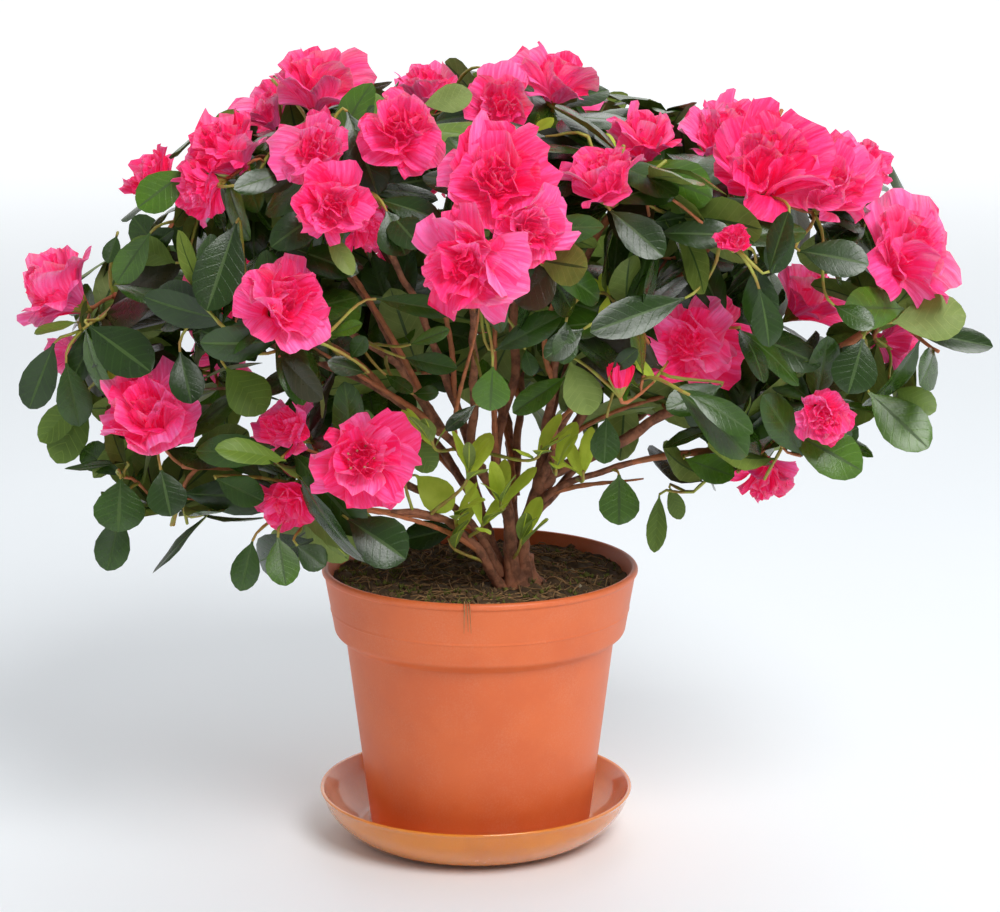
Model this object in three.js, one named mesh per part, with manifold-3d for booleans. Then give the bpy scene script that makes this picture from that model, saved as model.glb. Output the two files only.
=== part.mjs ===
// An azalea shrub in its pot and saucer, in millimetres, with +Z up.
// The origin is on the pot's axis, at the flat underside of the saucer.
// +X runs to the right and +Y away, as seen from the shrub's front.

import * as THREE from "three";
import { mergeVertices } from "three/addons/utils/BufferGeometryUtils.js";
import Module from "manifold-3d";

const wasm = await Module();
wasm.setup();

// Space left between two pieces that rest on each other
const gap = 0.3;

// The pot stands a little to one side in its saucer, whose middle is at x
const saucer = {
  x: -2,
  footRadius: 42,
  floorRadius: 51.6,
  floorTop: 3,
  rimRadius: 70.2,
  height: 22.4,
  wall: 1.7,
};

const pot = {
  baseRadius: 49,
  shoulderRadius: 59.6,
  shoulderZ: 91,
  collarRadius: 64.6,
  collarZ: 95.5,
  rimRadius: 70,
  topZ: 124,
  lip: 3.2,
  wall: 2.6,
  floor: 4,
};

const soil = { topZ: 119, lump: 1.6, rings: 3 };

// The saucer, pot and soil share their number of sides, so that their walls run parallel
const potSides = 28;

// The cut foot, where all the stems come out of the soil
const foot = {
  x: 18,
  y: -15,
  z: soil.topZ + gap,
  radius: 13,
  neck: 6.2,
  height: 13,
  lobes: 4,
  sides: 12,
};

// The crown's middle, the lowest its leaves hang, and how far it reaches as seen from above and the side
const crown = {
  heart: new THREE.Vector3(10, -5, 205),
  bottomZ: 129,
  reachX: 215,
  reachY: 180,
  roundness: 2.6,
  topZ: 356,
  topY: -20,
  fall: 45,
  fallsOver: 165,
};

// The crown's outline where it crosses the pot's axis, as seen by an eye in front of it:
// its upper and its lower edge, from left to right
const outline = {
  eye: new THREE.Vector3(9, -1205, 430),
  upper: [
    [-206, 245],
    [-165, 281],
    [-140, 307],
    [-78, 352],
    [45, 351],
    [75, 333],
    [118, 331],
    [181, 304],
    [194, 276],
    [224, 256],
  ],
  lower: [
    [-206, 212],
    [-170, 160],
    [-160, 122],
    [-60, 108],
    [66, 108],
    [96, 155],
    [190, 172],
    [199, 217],
    [224, 220],
  ],
};

const leaf = {
  length: 50,
  width: 24,
  thick: 2.4,
  widest: 0.56,
  droop: 3,
  sunk: 0.5,
  perShoot: 6,
  perBloom: 3,
  tipInset: 14,
  spacing: 4.2,
  shortest: 0.8,
  spread: 0.25,
  up: 0.5,
};

// How a shoot holds its leaves, in degrees off the shoot, and how far from its tip the first one grows
const leafAngles = { first: 50, more: 6, underBloom: 78, spread: 14 };
const leafBack = { shoot: 2, bloom: 5, lowest: 0.2 };

// A twig sets out and arrives straight on, for these shares of its length
const twig = {
  stem: 1.9,
  start: 0.9,
  end: 1.4,
  sides: 3,
  step: 34,
  setsOut: 0.35,
  arrives: 0.3,
  joints: [0.4, 0.7, 1],
};

// How a mass fills its space: its stem stops short of its middle, and shoots lean outwards and up
const growth = {
  stemShort: 0.25,
  directions: 1.45,
  inward: -0.38,
  nearest: 0.82,
  outward: 0.4,
  upward: 0.25,
  reachCost: 0.3,
  tries: 6,
};

// Clear space that a mass keeps to its neighbours and to the limbs
const clearance = 0.25;

const goldenAngle = Math.PI * (3 - Math.sqrt(5));

// A direction that no shoot takes, to measure turns round a shoot from
const aslant = new THREE.Vector3(-205, -182, 129);

// A limb's section, and how far apart its rings are
const limbSides = 5;
const limbStep = 25;

// Each limb runs from the foot, or from inside an older limb, to where it enters its mass.
// The part of it before cut, a share of its length, belongs to the fused stems.
const limbs = [
  {
    name: "far_right",
    from: 4.4,
    to: 2.3,
    cut: 0.4,
    way: [[20, -17, 115], [20, -18, 145], [29, -16, 166], [54, -27, 181], [90, -38, 205], [152, -44, 229]],
  },
  {
    name: "low_right",
    from: 2.2,
    to: 1.8,
    cut: 0.42,
    way: [[22, -17, 153], [38, -21, 165], [66, -28, 176]],
  },
  {
    name: "right_front",
    from: 2.8,
    to: 1.9,
    cut: 0.45,
    way: [[26, -16, 160], [33, -24, 184], [42, -40, 207], [51, -55, 219]],
  },
  {
    name: "centre_right",
    from: 2.8,
    to: 1.9,
    cut: 0.3,
    way: [[26, -17, 162], [30, -18, 196], [37, -42, 244], [47, -66, 276]],
  },
  {
    name: "upper_right",
    from: 3.2,
    to: 2,
    cut: 0.27,
    way: [[28, -16, 163], [44, -18, 195], [76, -28, 245], [98, -38, 274]],
  },
  {
    name: "back_right_high",
    from: 3,
    to: 1.9,
    cut: 0.25,
    way: [[25, -16, 158], [31, 2, 188], [50, 32, 232], [78, 58, 264]],
  },
  {
    name: "back_right_low",
    from: 2.6,
    to: 1.9,
    cut: 0.3,
    way: [[22, -16, 148], [42, 2, 166], [66, 26, 181], [84, 44, 192]],
  },
  {
    name: "top_centre",
    from: 3.8,
    to: 1.9,
    cut: 0.38,
    way: [[15, -20, 115], [13, -23, 148], [7, -16, 180], [15, -11, 210], [13, -12, 260], [10, -15, 306]],
  },
  {
    name: "front_centre",
    from: 3.6,
    to: 1.9,
    cut: 0.5,
    way: [[14, -20, 115], [11, -25, 155], [-2, -34, 178], [-2, -46, 212], [-2, -84, 252]],
  },
  {
    name: "centre_left",
    from: 2.4,
    to: 1.8,
    cut: 0.26,
    way: [[0, -32, 174], [-11, -34, 205], [-24, -52, 245], [-36, -68, 272]],
  },
  {
    name: "left_front",
    from: 2.5,
    to: 1.8,
    cut: 0.47,
    way: [[1, -31, 173], [-18, -47, 196], [-34, -68, 226], [-53, -86, 243]],
  },
  {
    name: "far_left",
    from: 2.3,
    to: 1.8,
    cut: 0.22,
    way: [[-16, -45, 193], [-44, -58, 215], [-90, -50, 233], [-128, -28, 242]],
  },
  {
    name: "upper_left",
    from: 2.3,
    to: 1.8,
    cut: 0.24,
    way: [[-15, -44, 192], [-31, -48, 222], [-50, -48, 255], [-70, -42, 282]],
  },
  {
    name: "low_left_front",
    from: 2.8,
    to: 1.8,
    cut: 0.5,
    way: [[10, -22, 118], [-6, -36, 146], [-22, -48, 158], [-38, -58, 161]],
  },
  {
    name: "low_left",
    from: 2.6,
    to: 1.8,
    cut: 0.36,
    way: [[9, -20, 124], [-6, -28, 152], [-30, -38, 168], [-64, -50, 177], [-100, -57, 180]],
  },
  {
    name: "back_left_low",
    from: 3,
    to: 1.9,
    cut: 0.38,
    way: [[12, -16, 118], [0, -8, 150], [-20, 8, 177], [-48, 28, 197], [-74, 42, 208]],
  },
  {
    name: "back_left_high",
    from: 2.6,
    to: 1.9,
    cut: 0.26,
    way: [[0, -8, 150], [-9, 10, 190], [-34, 42, 240], [-50, 58, 268]],
  },
  {
    name: "back_centre",
    from: 3,
    to: 1.9,
    cut: 0.42,
    way: [[17, -13, 118], [15, -2, 150], [13, 26, 178], [4, 62, 205], [0, 78, 214]],
  },
  {
    name: "back_centre_high",
    from: 2.6,
    to: 1.9,
    cut: 0.26,
    way: [[15, 2, 155], [18, 22, 195], [19, 44, 240], [19, 58, 276]],
  },
];

// Each mass: its middle, how far it reaches, how many leafy shoots it sends out, and its blooms.
// A bloom: where its middle is, its width, the way it faces from the front, and its tilt upwards.
const masses = [
  {
    name: "far_right",
    hub: [182, -24, 249],
    reach: [42, 46, 54],
    shoots: 5,
    seed: 55,
    blooms: [
      [177, -50, 269, 44, 45, 38],
      [174, -11, 299, 24, 90, 37],
      [181, 0, 223, 26, 128, -9],
    ],
  },
  {
    name: "low_right",
    hub: [112, -32, 184],
    reach: [60, 42, 34],
    shoots: 5,
    seed: 15,
    blooms: [
      [124, -20, 170, 26, 18, -62],
      [142, -70, 206, 28, 7, -14],
    ],
  },
  {
    name: "right_front",
    hub: [76, -82, 238],
    reach: [42, 40, 34],
    shoots: 3,
    seed: 46,
    blooms: [
      [88, -62, 233, 42, -6, 12],
      [97, -54, 240, 22, 40, 20],
      [57, -105, 226, 12, 0, 80],
    ],
  },
  {
    name: "centre_right",
    hub: [60, -94, 302],
    reach: [33, 38, 38],
    shoots: 3,
    seed: 31,
    blooms: [
      [49, -114, 308, 34, -20, 54],
      [67, -68, 319, 32, 0, 72],
      [100, -120, 285, 16, -8, 35],
    ],
  },
  {
    name: "upper_right",
    hub: [128, -57, 305],
    reach: [46, 43, 42],
    shoots: 4,
    seed: 27,
    blooms: [
      [101, -20, 323, 36, 18, 71],
      [116, -86, 309, 42, 0, 60],
      [140, -78, 303, 38, 18, 50],
    ],
  },
  {
    name: "top_centre",
    hub: [8, -24, 328],
    reach: [50, 50, 34],
    shoots: 4,
    seed: 24,
    blooms: [
      [-21, -10, 336, 32, 0, 84],
      [31, -40, 339, 36, 18, 72],
      [8, -66, 332, 32, -7, 30],
    ],
  },
  {
    name: "front_centre",
    hub: [6, -128, 280],
    reach: [34, 38, 42],
    shoots: 4,
    seed: 2,
    blooms: [
      [7, -135, 308, 42, 0, 24],
      [-2, -160, 281, 46, -12, -6],
      [19, -145, 292, 32, 25, 6],
    ],
  },
  {
    name: "centre_left",
    hub: [-44, -94, 314],
    reach: [38, 40, 38],
    shoots: 3,
    seed: 47,
    blooms: [
      [-29, -116, 325, 36, 0, 27],
      [-63, -108, 316, 32, -6, 24],
      [-56, -125, 298, 34, 7, 7],
      [-44, -100, 287, 24, 45, -35],
    ],
  },
  {
    name: "left_front",
    hub: [-84, -104, 249],
    reach: [36, 34, 32],
    shoots: 4,
    seed: 34,
    blooms: [[-79, -120, 258, 46, 25, 26]],
  },
  {
    name: "upper_left",
    hub: [-94, -28, 316],
    reach: [52, 42, 42],
    shoots: 5,
    seed: 32,
    blooms: [
      [-103, -60, 313, 42, -58, 49],
      [-112, -74, 299, 28, -54, -13],
      [-65, -38, 338, 40, 18, 72],
      [-91, 10, 331, 26, -90, 72],
    ],
  },
  {
    name: "far_left",
    hub: [-166, -12, 248],
    reach: [38, 44, 46],
    shoots: 5,
    seed: 27,
    blooms: [
      [-180, -20, 250, 38, -76, 34],
      [-183, 5, 218, 20, -108, -18],
      [-151, 30, 284, 26, -135, 40],
    ],
  },
  {
    name: "low_left",
    hub: [-132, -60, 182],
    reach: [38, 40, 44],
    shoots: 5,
    seed: 5,
    blooms: [[-134, -72, 203, 46, -8, 45]],
  },
  {
    name: "low_left_front",
    hub: [-66, -88, 174],
    reach: [38, 38, 42],
    shoots: 4,
    seed: 52,
    blooms: [
      [-77, -85, 202, 28, -50, 27],
      [-47, -115, 196, 42, 6, 15],
      [-78, -85, 172, 26, -31, -27],
    ],
  },
  { name: "back_left_low", hub: [-112, 58, 218], reach: [52, 50, 46], shoots: 5, seed: 22 },
  { name: "back_left_high", hub: [-72, 72, 300], reach: [52, 50, 42], shoots: 5, seed: 40 },
  { name: "back_centre", hub: [-8, 118, 226], reach: [50, 50, 48], shoots: 5, seed: 19 },
  { name: "back_centre_high", hub: [18, 88, 306], reach: [48, 52, 42], shoots: 5, seed: 33 },
  { name: "back_right_high", hub: [102, 66, 292], reach: [50, 50, 44], shoots: 5, seed: 9 },
  { name: "back_right_low", hub: [116, 68, 212], reach: [56, 52, 42], shoots: 5, seed: 46 },
];

// A bloom's outline runs from its stalk to its heart, in shares of its radius.
// One that would leave its mass's space opens less wide, by the shares in turn.
// A mass with no blooms of its own ends one in so many of its shoots in a bloom.
const bloom = {
  outline: [[0, 0], [1, 0.5], [0.56, 0.56], [0.44, 0.84], [0, 0.72]],
  shares: [1, 0.9, 0.8, 0.7],
  every: 4,
  width: 40,
  sides: 8,
  sunk: 1.5,
  stalk: 0.21,
  ruffle: 0.3,
  pulled: 0.82,
};

// Leaves keep out of the space in front of a bloom, in shares of its width
const bloomFront = { behind: 0.1, aside: 0.36, tips: 0.55 };

const colours = {
  saucer: 0xd99e4a,
  pot: 0xdb744b,
  soil: 0x3e371c,
  bark: 0x62422a,
  foliage: 0x39452c,
};

// A seeded row of numbers between 0 and 1
function seeded(seed) {
  let state = seed * 48611;
  return () => {
    state = (state * 16807) % 2147483647;
    return state / 2147483647;
  };
}

// A direction from a turn off the front towards the right, and a tilt upwards, in degrees
function heading(turn, tilt) {
  const a = THREE.MathUtils.degToRad(turn);
  const b = THREE.MathUtils.degToRad(tilt);
  return new THREE.Vector3(Math.sin(a) * Math.cos(b), -Math.cos(a) * Math.cos(b), Math.sin(b));
}

// A closed geometry as a solid that can be joined, cut and tested
function solidOf(geometry) {
  const bare = new THREE.BufferGeometry();
  bare.setAttribute("position", geometry.getAttribute("position"));
  bare.setIndex(geometry.getIndex());
  const merged = mergeVertices(bare, 1e-4);
  const corners = merged.getIndex().array;
  const kept = [];
  for (let i = 0; i < corners.length; i += 3) {
    const [a, b, c] = [corners[i], corners[i + 1], corners[i + 2]];
    if (a !== b && b !== c && c !== a) kept.push(a, b, c);
  }
  return new wasm.Manifold(
    new wasm.Mesh({
      numProp: 3,
      vertProperties: merged.getAttribute("position").array,
      triVerts: new Uint32Array(kept),
    }),
  );
}

// The largest body of a solid as a geometry, without loose scraps and sealed hollows
function geometryOf(solid) {
  const bodies = solid.decompose().sort((a, b) => b.volume() - a.volume());
  const mesh = bodies[0].getMesh();
  const geometry = new THREE.BufferGeometry();
  geometry.setAttribute("position", new THREE.BufferAttribute(mesh.vertProperties, 3));
  geometry.setIndex(new THREE.BufferAttribute(mesh.triVerts, 1));
  geometry.computeVertexNormals();
  return geometry;
}

// A closed profile turned round the Z axis
function turned(profile, sides) {
  const outline = profile.map(([radius, z]) => new THREE.Vector2(radius, z));
  return new THREE.LatheGeometry(outline, sides).rotateX(Math.PI / 2);
}

// A tapering rod along a curve: a cylinder whose rings are set across the curve
function rod(curve, radiusAt, sides, steps) {
  const shape = new THREE.CylinderGeometry(1, 1, 1, sides, steps);
  const frames = curve.computeFrenetFrames(steps);
  const place = shape.getAttribute("position");
  for (let i = 0; i < place.count; i += 1) {
    const share = place.getY(i) + 0.5;
    const step = Math.round(share * steps);
    const spot = curve
      .getPointAt(share)
      .addScaledVector(frames.binormals[step], place.getX(i) * radiusAt(share))
      .addScaledVector(frames.normals[step], place.getZ(i) * radiusAt(share));
    place.setXYZ(i, spot.x, spot.y, spot.z);
  }
  return shape;
}

// The stretch of a curve between two shares of its length
class Stretch extends THREE.Curve {
  constructor(curve, from, to) {
    super();
    this.curve = curve;
    this.from = from;
    this.to = to;
  }
  getPoint(share, target = new THREE.Vector3()) {
    return this.curve.getPointAt(THREE.MathUtils.lerp(this.from, this.to, share), target);
  }
}

function mesh(name, geometry, color, roughness) {
  const piece = new THREE.Mesh(
    geometry,
    new THREE.MeshStandardMaterial({ color, roughness, metalness: 0 }),
  );
  piece.name = name;
  return piece;
}

// The saucer: a flat foot narrower than its floor, and a wall that flares out in a curve to a thin rim
function makeSaucer() {
  const s = saucer;
  const flare = s.rimRadius - s.floorRadius;
  const shape = turned(
    [
      [0, 0],
      [s.footRadius, 0],
      [s.floorRadius, s.floorTop * 0.45],
      [s.floorRadius + flare * 0.46, s.height * 0.29],
      [s.floorRadius + flare * 0.8, s.height * 0.6],
      [s.rimRadius, s.height - 0.8],
      [s.rimRadius - 0.5, s.height],
      [s.rimRadius - s.wall, s.height - 0.5],
      [s.floorRadius + flare * 0.7, s.height * 0.64],
      [s.floorRadius + flare * 0.36, s.height * 0.34],
      [s.floorRadius, s.floorTop],
      [0, s.floorTop],
    ],
    potSides,
  );
  return shape.translate(s.x, 0, 0);
}

// The pot's inner wall, at a height
function potInner(z) {
  const p = pot;
  const base = p.baseRadius - p.wall;
  const shoulder = p.shoulderRadius - p.wall;
  if (z < p.shoulderZ) return THREE.MathUtils.mapLinear(z, 0, p.shoulderZ, base, shoulder);
  return THREE.MathUtils.mapLinear(z, p.shoulderZ, p.topZ, shoulder, p.rimRadius - p.wall);
}

// The pot: a tapered body, a step out to its collar, and a low lip round the rim
function makePot() {
  const p = pot;
  const base = saucer.floorTop + gap;
  const lipRadius = p.rimRadius - 1.1;
  return turned(
    [
      [0, base],
      [p.baseRadius - 1.2, base],
      [p.baseRadius, base + 1.4],
      [p.shoulderRadius, p.shoulderZ],
      [p.collarRadius - 0.8, p.collarZ - 1.2],
      [p.collarRadius, p.collarZ],
      [lipRadius, p.topZ - p.lip],
      [p.rimRadius, p.topZ - p.lip + 0.8],
      [p.rimRadius, p.topZ - 0.8],
      [p.rimRadius - 0.8, p.topZ],
      [potInner(p.topZ), p.topZ],
      [potInner(p.shoulderZ), p.shoulderZ],
      [potInner(base + p.floor), base + p.floor],
      [0, base + p.floor],
    ],
    potSides,
  );
}

// The soil: fills the pot, flat where the stems stand and lumpy all round them
function makeSoil() {
  const s = soil;
  const base = saucer.floorTop + gap + pot.floor + gap;
  const rim = potInner(s.topZ) - gap;
  const profile = [
    [0, base],
    [potInner(base) - gap, base],
    [potInner(pot.shoulderZ) - gap, pot.shoulderZ],
    [rim, s.topZ],
  ];
  for (let ring = 1; ring <= s.rings; ring += 1) {
    profile.push([rim * (1 - ring / s.rings), s.topZ]);
  }
  const shape = turned(profile, potSides);
  const place = shape.getAttribute("position");
  for (let i = 0; i < place.count; i += 1) {
    const x = place.getX(i);
    const y = place.getY(i);
    const away = Math.hypot(x - foot.x, y - foot.y);
    const wave = Math.sin(x * 0.31 + 1) * Math.cos(y * 0.27) - 0.55;
    const share = THREE.MathUtils.smoothstep(away, foot.radius + 14, foot.radius + 30);
    const inside = Math.hypot(x, y) < rim - 1;
    if (inside && place.getZ(i) > s.topZ - 1) place.setZ(i, s.topZ + s.lump * wave * share);
  }
  return shape;
}

// A limb's own curve, and its radius at a share of the curve
function limbCurve(limb) {
  return new THREE.CatmullRomCurve3(limb.way.map((spot) => new THREE.Vector3(...spot)));
}

function limbRadius(limb, share) {
  return THREE.MathUtils.lerp(limb.from, limb.to, Math.pow(share, 0.8));
}

// A stretch of a limb, made wider on all sides by extra
function limbSolid(limb, from, to, extra = 0) {
  const curve = limbCurve(limb);
  const stretch = new Stretch(curve, from, to);
  const steps = Math.max(2, Math.round((curve.getLength() * (to - from)) / limbStep));
  const radiusAt = (share) => limbRadius(limb, THREE.MathUtils.lerp(from, to, share)) + extra;
  return solidOf(rod(stretch, radiusAt, limbSides, steps));
}

// The flare at the foot, with a low ridge under each root
function makeFlare() {
  const f = foot;
  const shape = new THREE.CylinderGeometry(f.neck, f.radius, f.height, f.sides, 2);
  shape.rotateX(Math.PI / 2).translate(0, 0, f.height / 2);
  const place = shape.getAttribute("position");
  for (let i = 0; i < place.count; i += 1) {
    const low = 1 - place.getZ(i) / f.height;
    const turn = Math.atan2(place.getY(i), place.getX(i));
    const ridge = 1 + 0.16 * low * Math.cos(f.lobes * turn);
    const waist = 1 - 0.28 * Math.sin(Math.PI * low);
    place.setX(i, place.getX(i) * ridge * waist);
    place.setY(i, place.getY(i) * ridge * waist);
  }
  return solidOf(shape.translate(f.x, f.y, f.z));
}

// The stems from the flat cut up to where each bough begins
function makeStems() {
  const parts = limbs.map((limb) => limbSolid(limb, 0, limb.cut));
  const under = new THREE.BoxGeometry(80, 80, 20).translate(foot.x, foot.y, foot.z - 10);
  return wasm.Manifold.union([makeFlare(), ...parts]).subtract(solidOf(under));
}

// The share of a limb's length where its bough starts, just clear of the stems
function boughStart(limb) {
  return limb.cut + gap / limbCurve(limb).getLength();
}

// The height of an edge of the outline at a place across it
function edgeHeight(edge, x) {
  const next = edge.findIndex((corner) => corner[0] > x);
  if (next < 1) return NaN;
  const [from, to] = [edge[next - 1], edge[next]];
  return THREE.MathUtils.mapLinear(x, from[0], to[0], from[1], to[1]);
}

// Whether a point lies in the crown: round as seen from above, domed from the side, within its outline from the front
function inCrown(spot) {
  const c = crown;
  const wide = Math.pow(Math.abs(spot.x - c.heart.x) / c.reachX, c.roundness);
  const deep = Math.pow(Math.abs(spot.y) / c.reachY, c.roundness);
  const dome = c.topZ - c.fall * Math.pow((spot.y - c.topY) / c.fallsOver, 2);
  if (wide + deep > 1 || spot.z < c.bottomZ || spot.z > dome) return false;
  const { eye, upper, lower } = outline;
  const seen = spot.clone().sub(eye).multiplyScalar(-eye.y / (spot.y - eye.y)).add(eye);
  return seen.z < edgeHeight(upper, seen.x) && seen.z > edgeHeight(lower, seen.x);
}

// Whether a point lies in a mass's own cell, which is flat-sided, and in the crown
function inCell(mass, spot) {
  if (!inCrown(spot)) return false;
  const own = spot.distanceToSquared(mass.middle) - mass.weight;
  return masses.every((other) => {
    if (other === mass) return true;
    const theirs = spot.distanceToSquared(other.middle) - other.weight;
    return (theirs - own) / (2 * mass.middle.distanceTo(other.middle)) > clearance;
  });
}

function cornersOf(geometry) {
  const place = geometry.getAttribute("position");
  const spots = [];
  for (let i = 0; i < place.count; i += 1) {
    spots.push(new THREE.Vector3().fromBufferAttribute(place, i));
  }
  return spots;
}

// A leaf: a thin blade, flat underneath, that rises to its midrib and droops at its tip
function leafGeometry(root, along, face, length) {
  const l = leaf;
  const across = new THREE.Vector3().crossVectors(face, along).normalize();
  const up = new THREE.Vector3().crossVectors(along, across).normalize();
  const size = length / l.length;
  const at = (share, side, height) =>
    root
      .clone()
      .addScaledVector(along, share * length)
      .addScaledVector(across, side * size)
      .addScaledVector(up, height * size);
  const spots = [
    at(-l.sunk / length, 0, 0),
    at(l.widest, l.width / 2, 0),
    at(1, 0, -l.droop),
    at(l.widest, -l.width / 2, 0),
    at(l.widest, 0, l.thick),
  ];
  const shape = new THREE.BufferGeometry().setFromPoints(spots);
  return shape.setIndex([1, 0, 4, 2, 1, 4, 3, 2, 4, 0, 3, 4, 0, 1, 3, 1, 2, 3]);
}

// A bloom: a cup turned about its stalk, with a ruffled rim and a raised heart
function bloomGeometry(middle, face, width, random) {
  const radius = width / 2;
  const outline = bloom.outline.map(([out, up]) => new THREE.Vector2(out * radius, up * radius));
  const shape = new THREE.LatheGeometry(outline, bloom.sides);
  const lift = [];
  for (let side = 0; side < bloom.sides; side += 1) {
    lift.push((random() - 0.5) * bloom.ruffle * radius);
  }
  const place = shape.getAttribute("position");
  for (let i = 0; i < place.count; i += 1) {
    const point = i % outline.length;
    const side = Math.floor(i / outline.length) % bloom.sides;
    if (point === 0 || point === outline.length - 1) continue;
    const pulled = (side + point) % 2 ? 1 : bloom.pulled;
    place.setXYZ(i, place.getX(i) * pulled, place.getY(i) + lift[side], place.getZ(i) * pulled);
  }
  shape.applyQuaternion(
    new THREE.Quaternion().setFromUnitVectors(new THREE.Vector3(0, 1, 0), face),
  );
  const stalk = stalkOf(middle, face, width);
  return shape.translate(stalk.x, stalk.y, stalk.z);
}

// Where a bloom's stalk meets it
function stalkOf(middle, face, width) {
  return middle.clone().addScaledVector(face, -bloom.stalk * width);
}

// The shoot tips of a mass: its blooms first, then leafy shoots all over its outer side
function shootTips(mass, random) {
  const blooming = (mass.blooms ?? []).map(([x, y, z, width, turn, tilt]) => {
    const face = heading(turn, tilt);
    const middle = new THREE.Vector3(x, y, z);
    return { spot: stalkOf(middle, face, width), face, middle, width };
  });
  const leafy = [];
  const outward = mass.middle.clone().sub(crown.heart).normalize();
  const turnBy = random() * 2 * Math.PI;
  const spread = Math.round(mass.shoots * growth.directions);
  for (let k = 0; k < spread; k += 1) {
    const height = 1 - (2 * (k + 0.5)) / spread;
    const turn = k * goldenAngle + turnBy;
    const wide = Math.sqrt(1 - height * height);
    const face = new THREE.Vector3(Math.cos(turn) * wide, Math.sin(turn) * wide, height);
    const depth = THREE.MathUtils.lerp(growth.nearest, 1, random());
    if (face.dot(outward) < growth.inward) continue;
    const spot = mass.middle.clone();
    spot.x += face.x * (mass.reach[0] - leaf.tipInset) * depth;
    spot.y += face.y * (mass.reach[1] - leaf.tipInset) * depth;
    spot.z += face.z * (mass.reach[2] - leaf.tipInset) * depth;
    face.addScaledVector(outward, growth.outward).setZ(face.z + growth.upward).normalize();
    const near = (tip) => tip.middle.distanceTo(spot) < tip.width * bloomFront.tips;
    if (blooming.some(near)) continue;
    if (!mass.blooms && k % bloom.every === 1) {
      const middle = spot.clone().addScaledVector(face, bloom.stalk * bloom.width);
      blooming.push({ spot, face, middle, width: bloom.width });
    } else {
      leafy.push({ spot, face });
    }
  }
  leafy.sort((a, b) => a.spot.distanceTo(mass.root) - b.spot.distanceTo(mass.root));
  return [...blooming, ...leafy];
}

// The growing solids of one mass, with a box round each for a quick test
class Grown {
  constructor(mass, keepClear) {
    this.mass = mass;
    this.keepClear = keepClear;
    this.parts = [];
  }
  // Takes a piece in, unless it leaves the cell, touches a limb, or crosses a piece other than its own twig
  add(geometry, own = null) {
    if (!cornersOf(geometry).every((spot) => inCell(this.mass, spot))) return null;
    geometry.computeBoundingBox();
    const box = geometry.boundingBox;
    const solid = solidOf(geometry);
    if (!solid.intersect(this.keepClear).isEmpty()) return null;
    const crossed = this.parts.some(
      (part) =>
        !own?.includes(part) && part.box.intersectsBox(box) && !solid.intersect(part.solid).isEmpty(),
    );
    if (crossed) return null;
    const part = { solid, box };
    this.parts.push(part);
    return part;
  }
}

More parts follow.
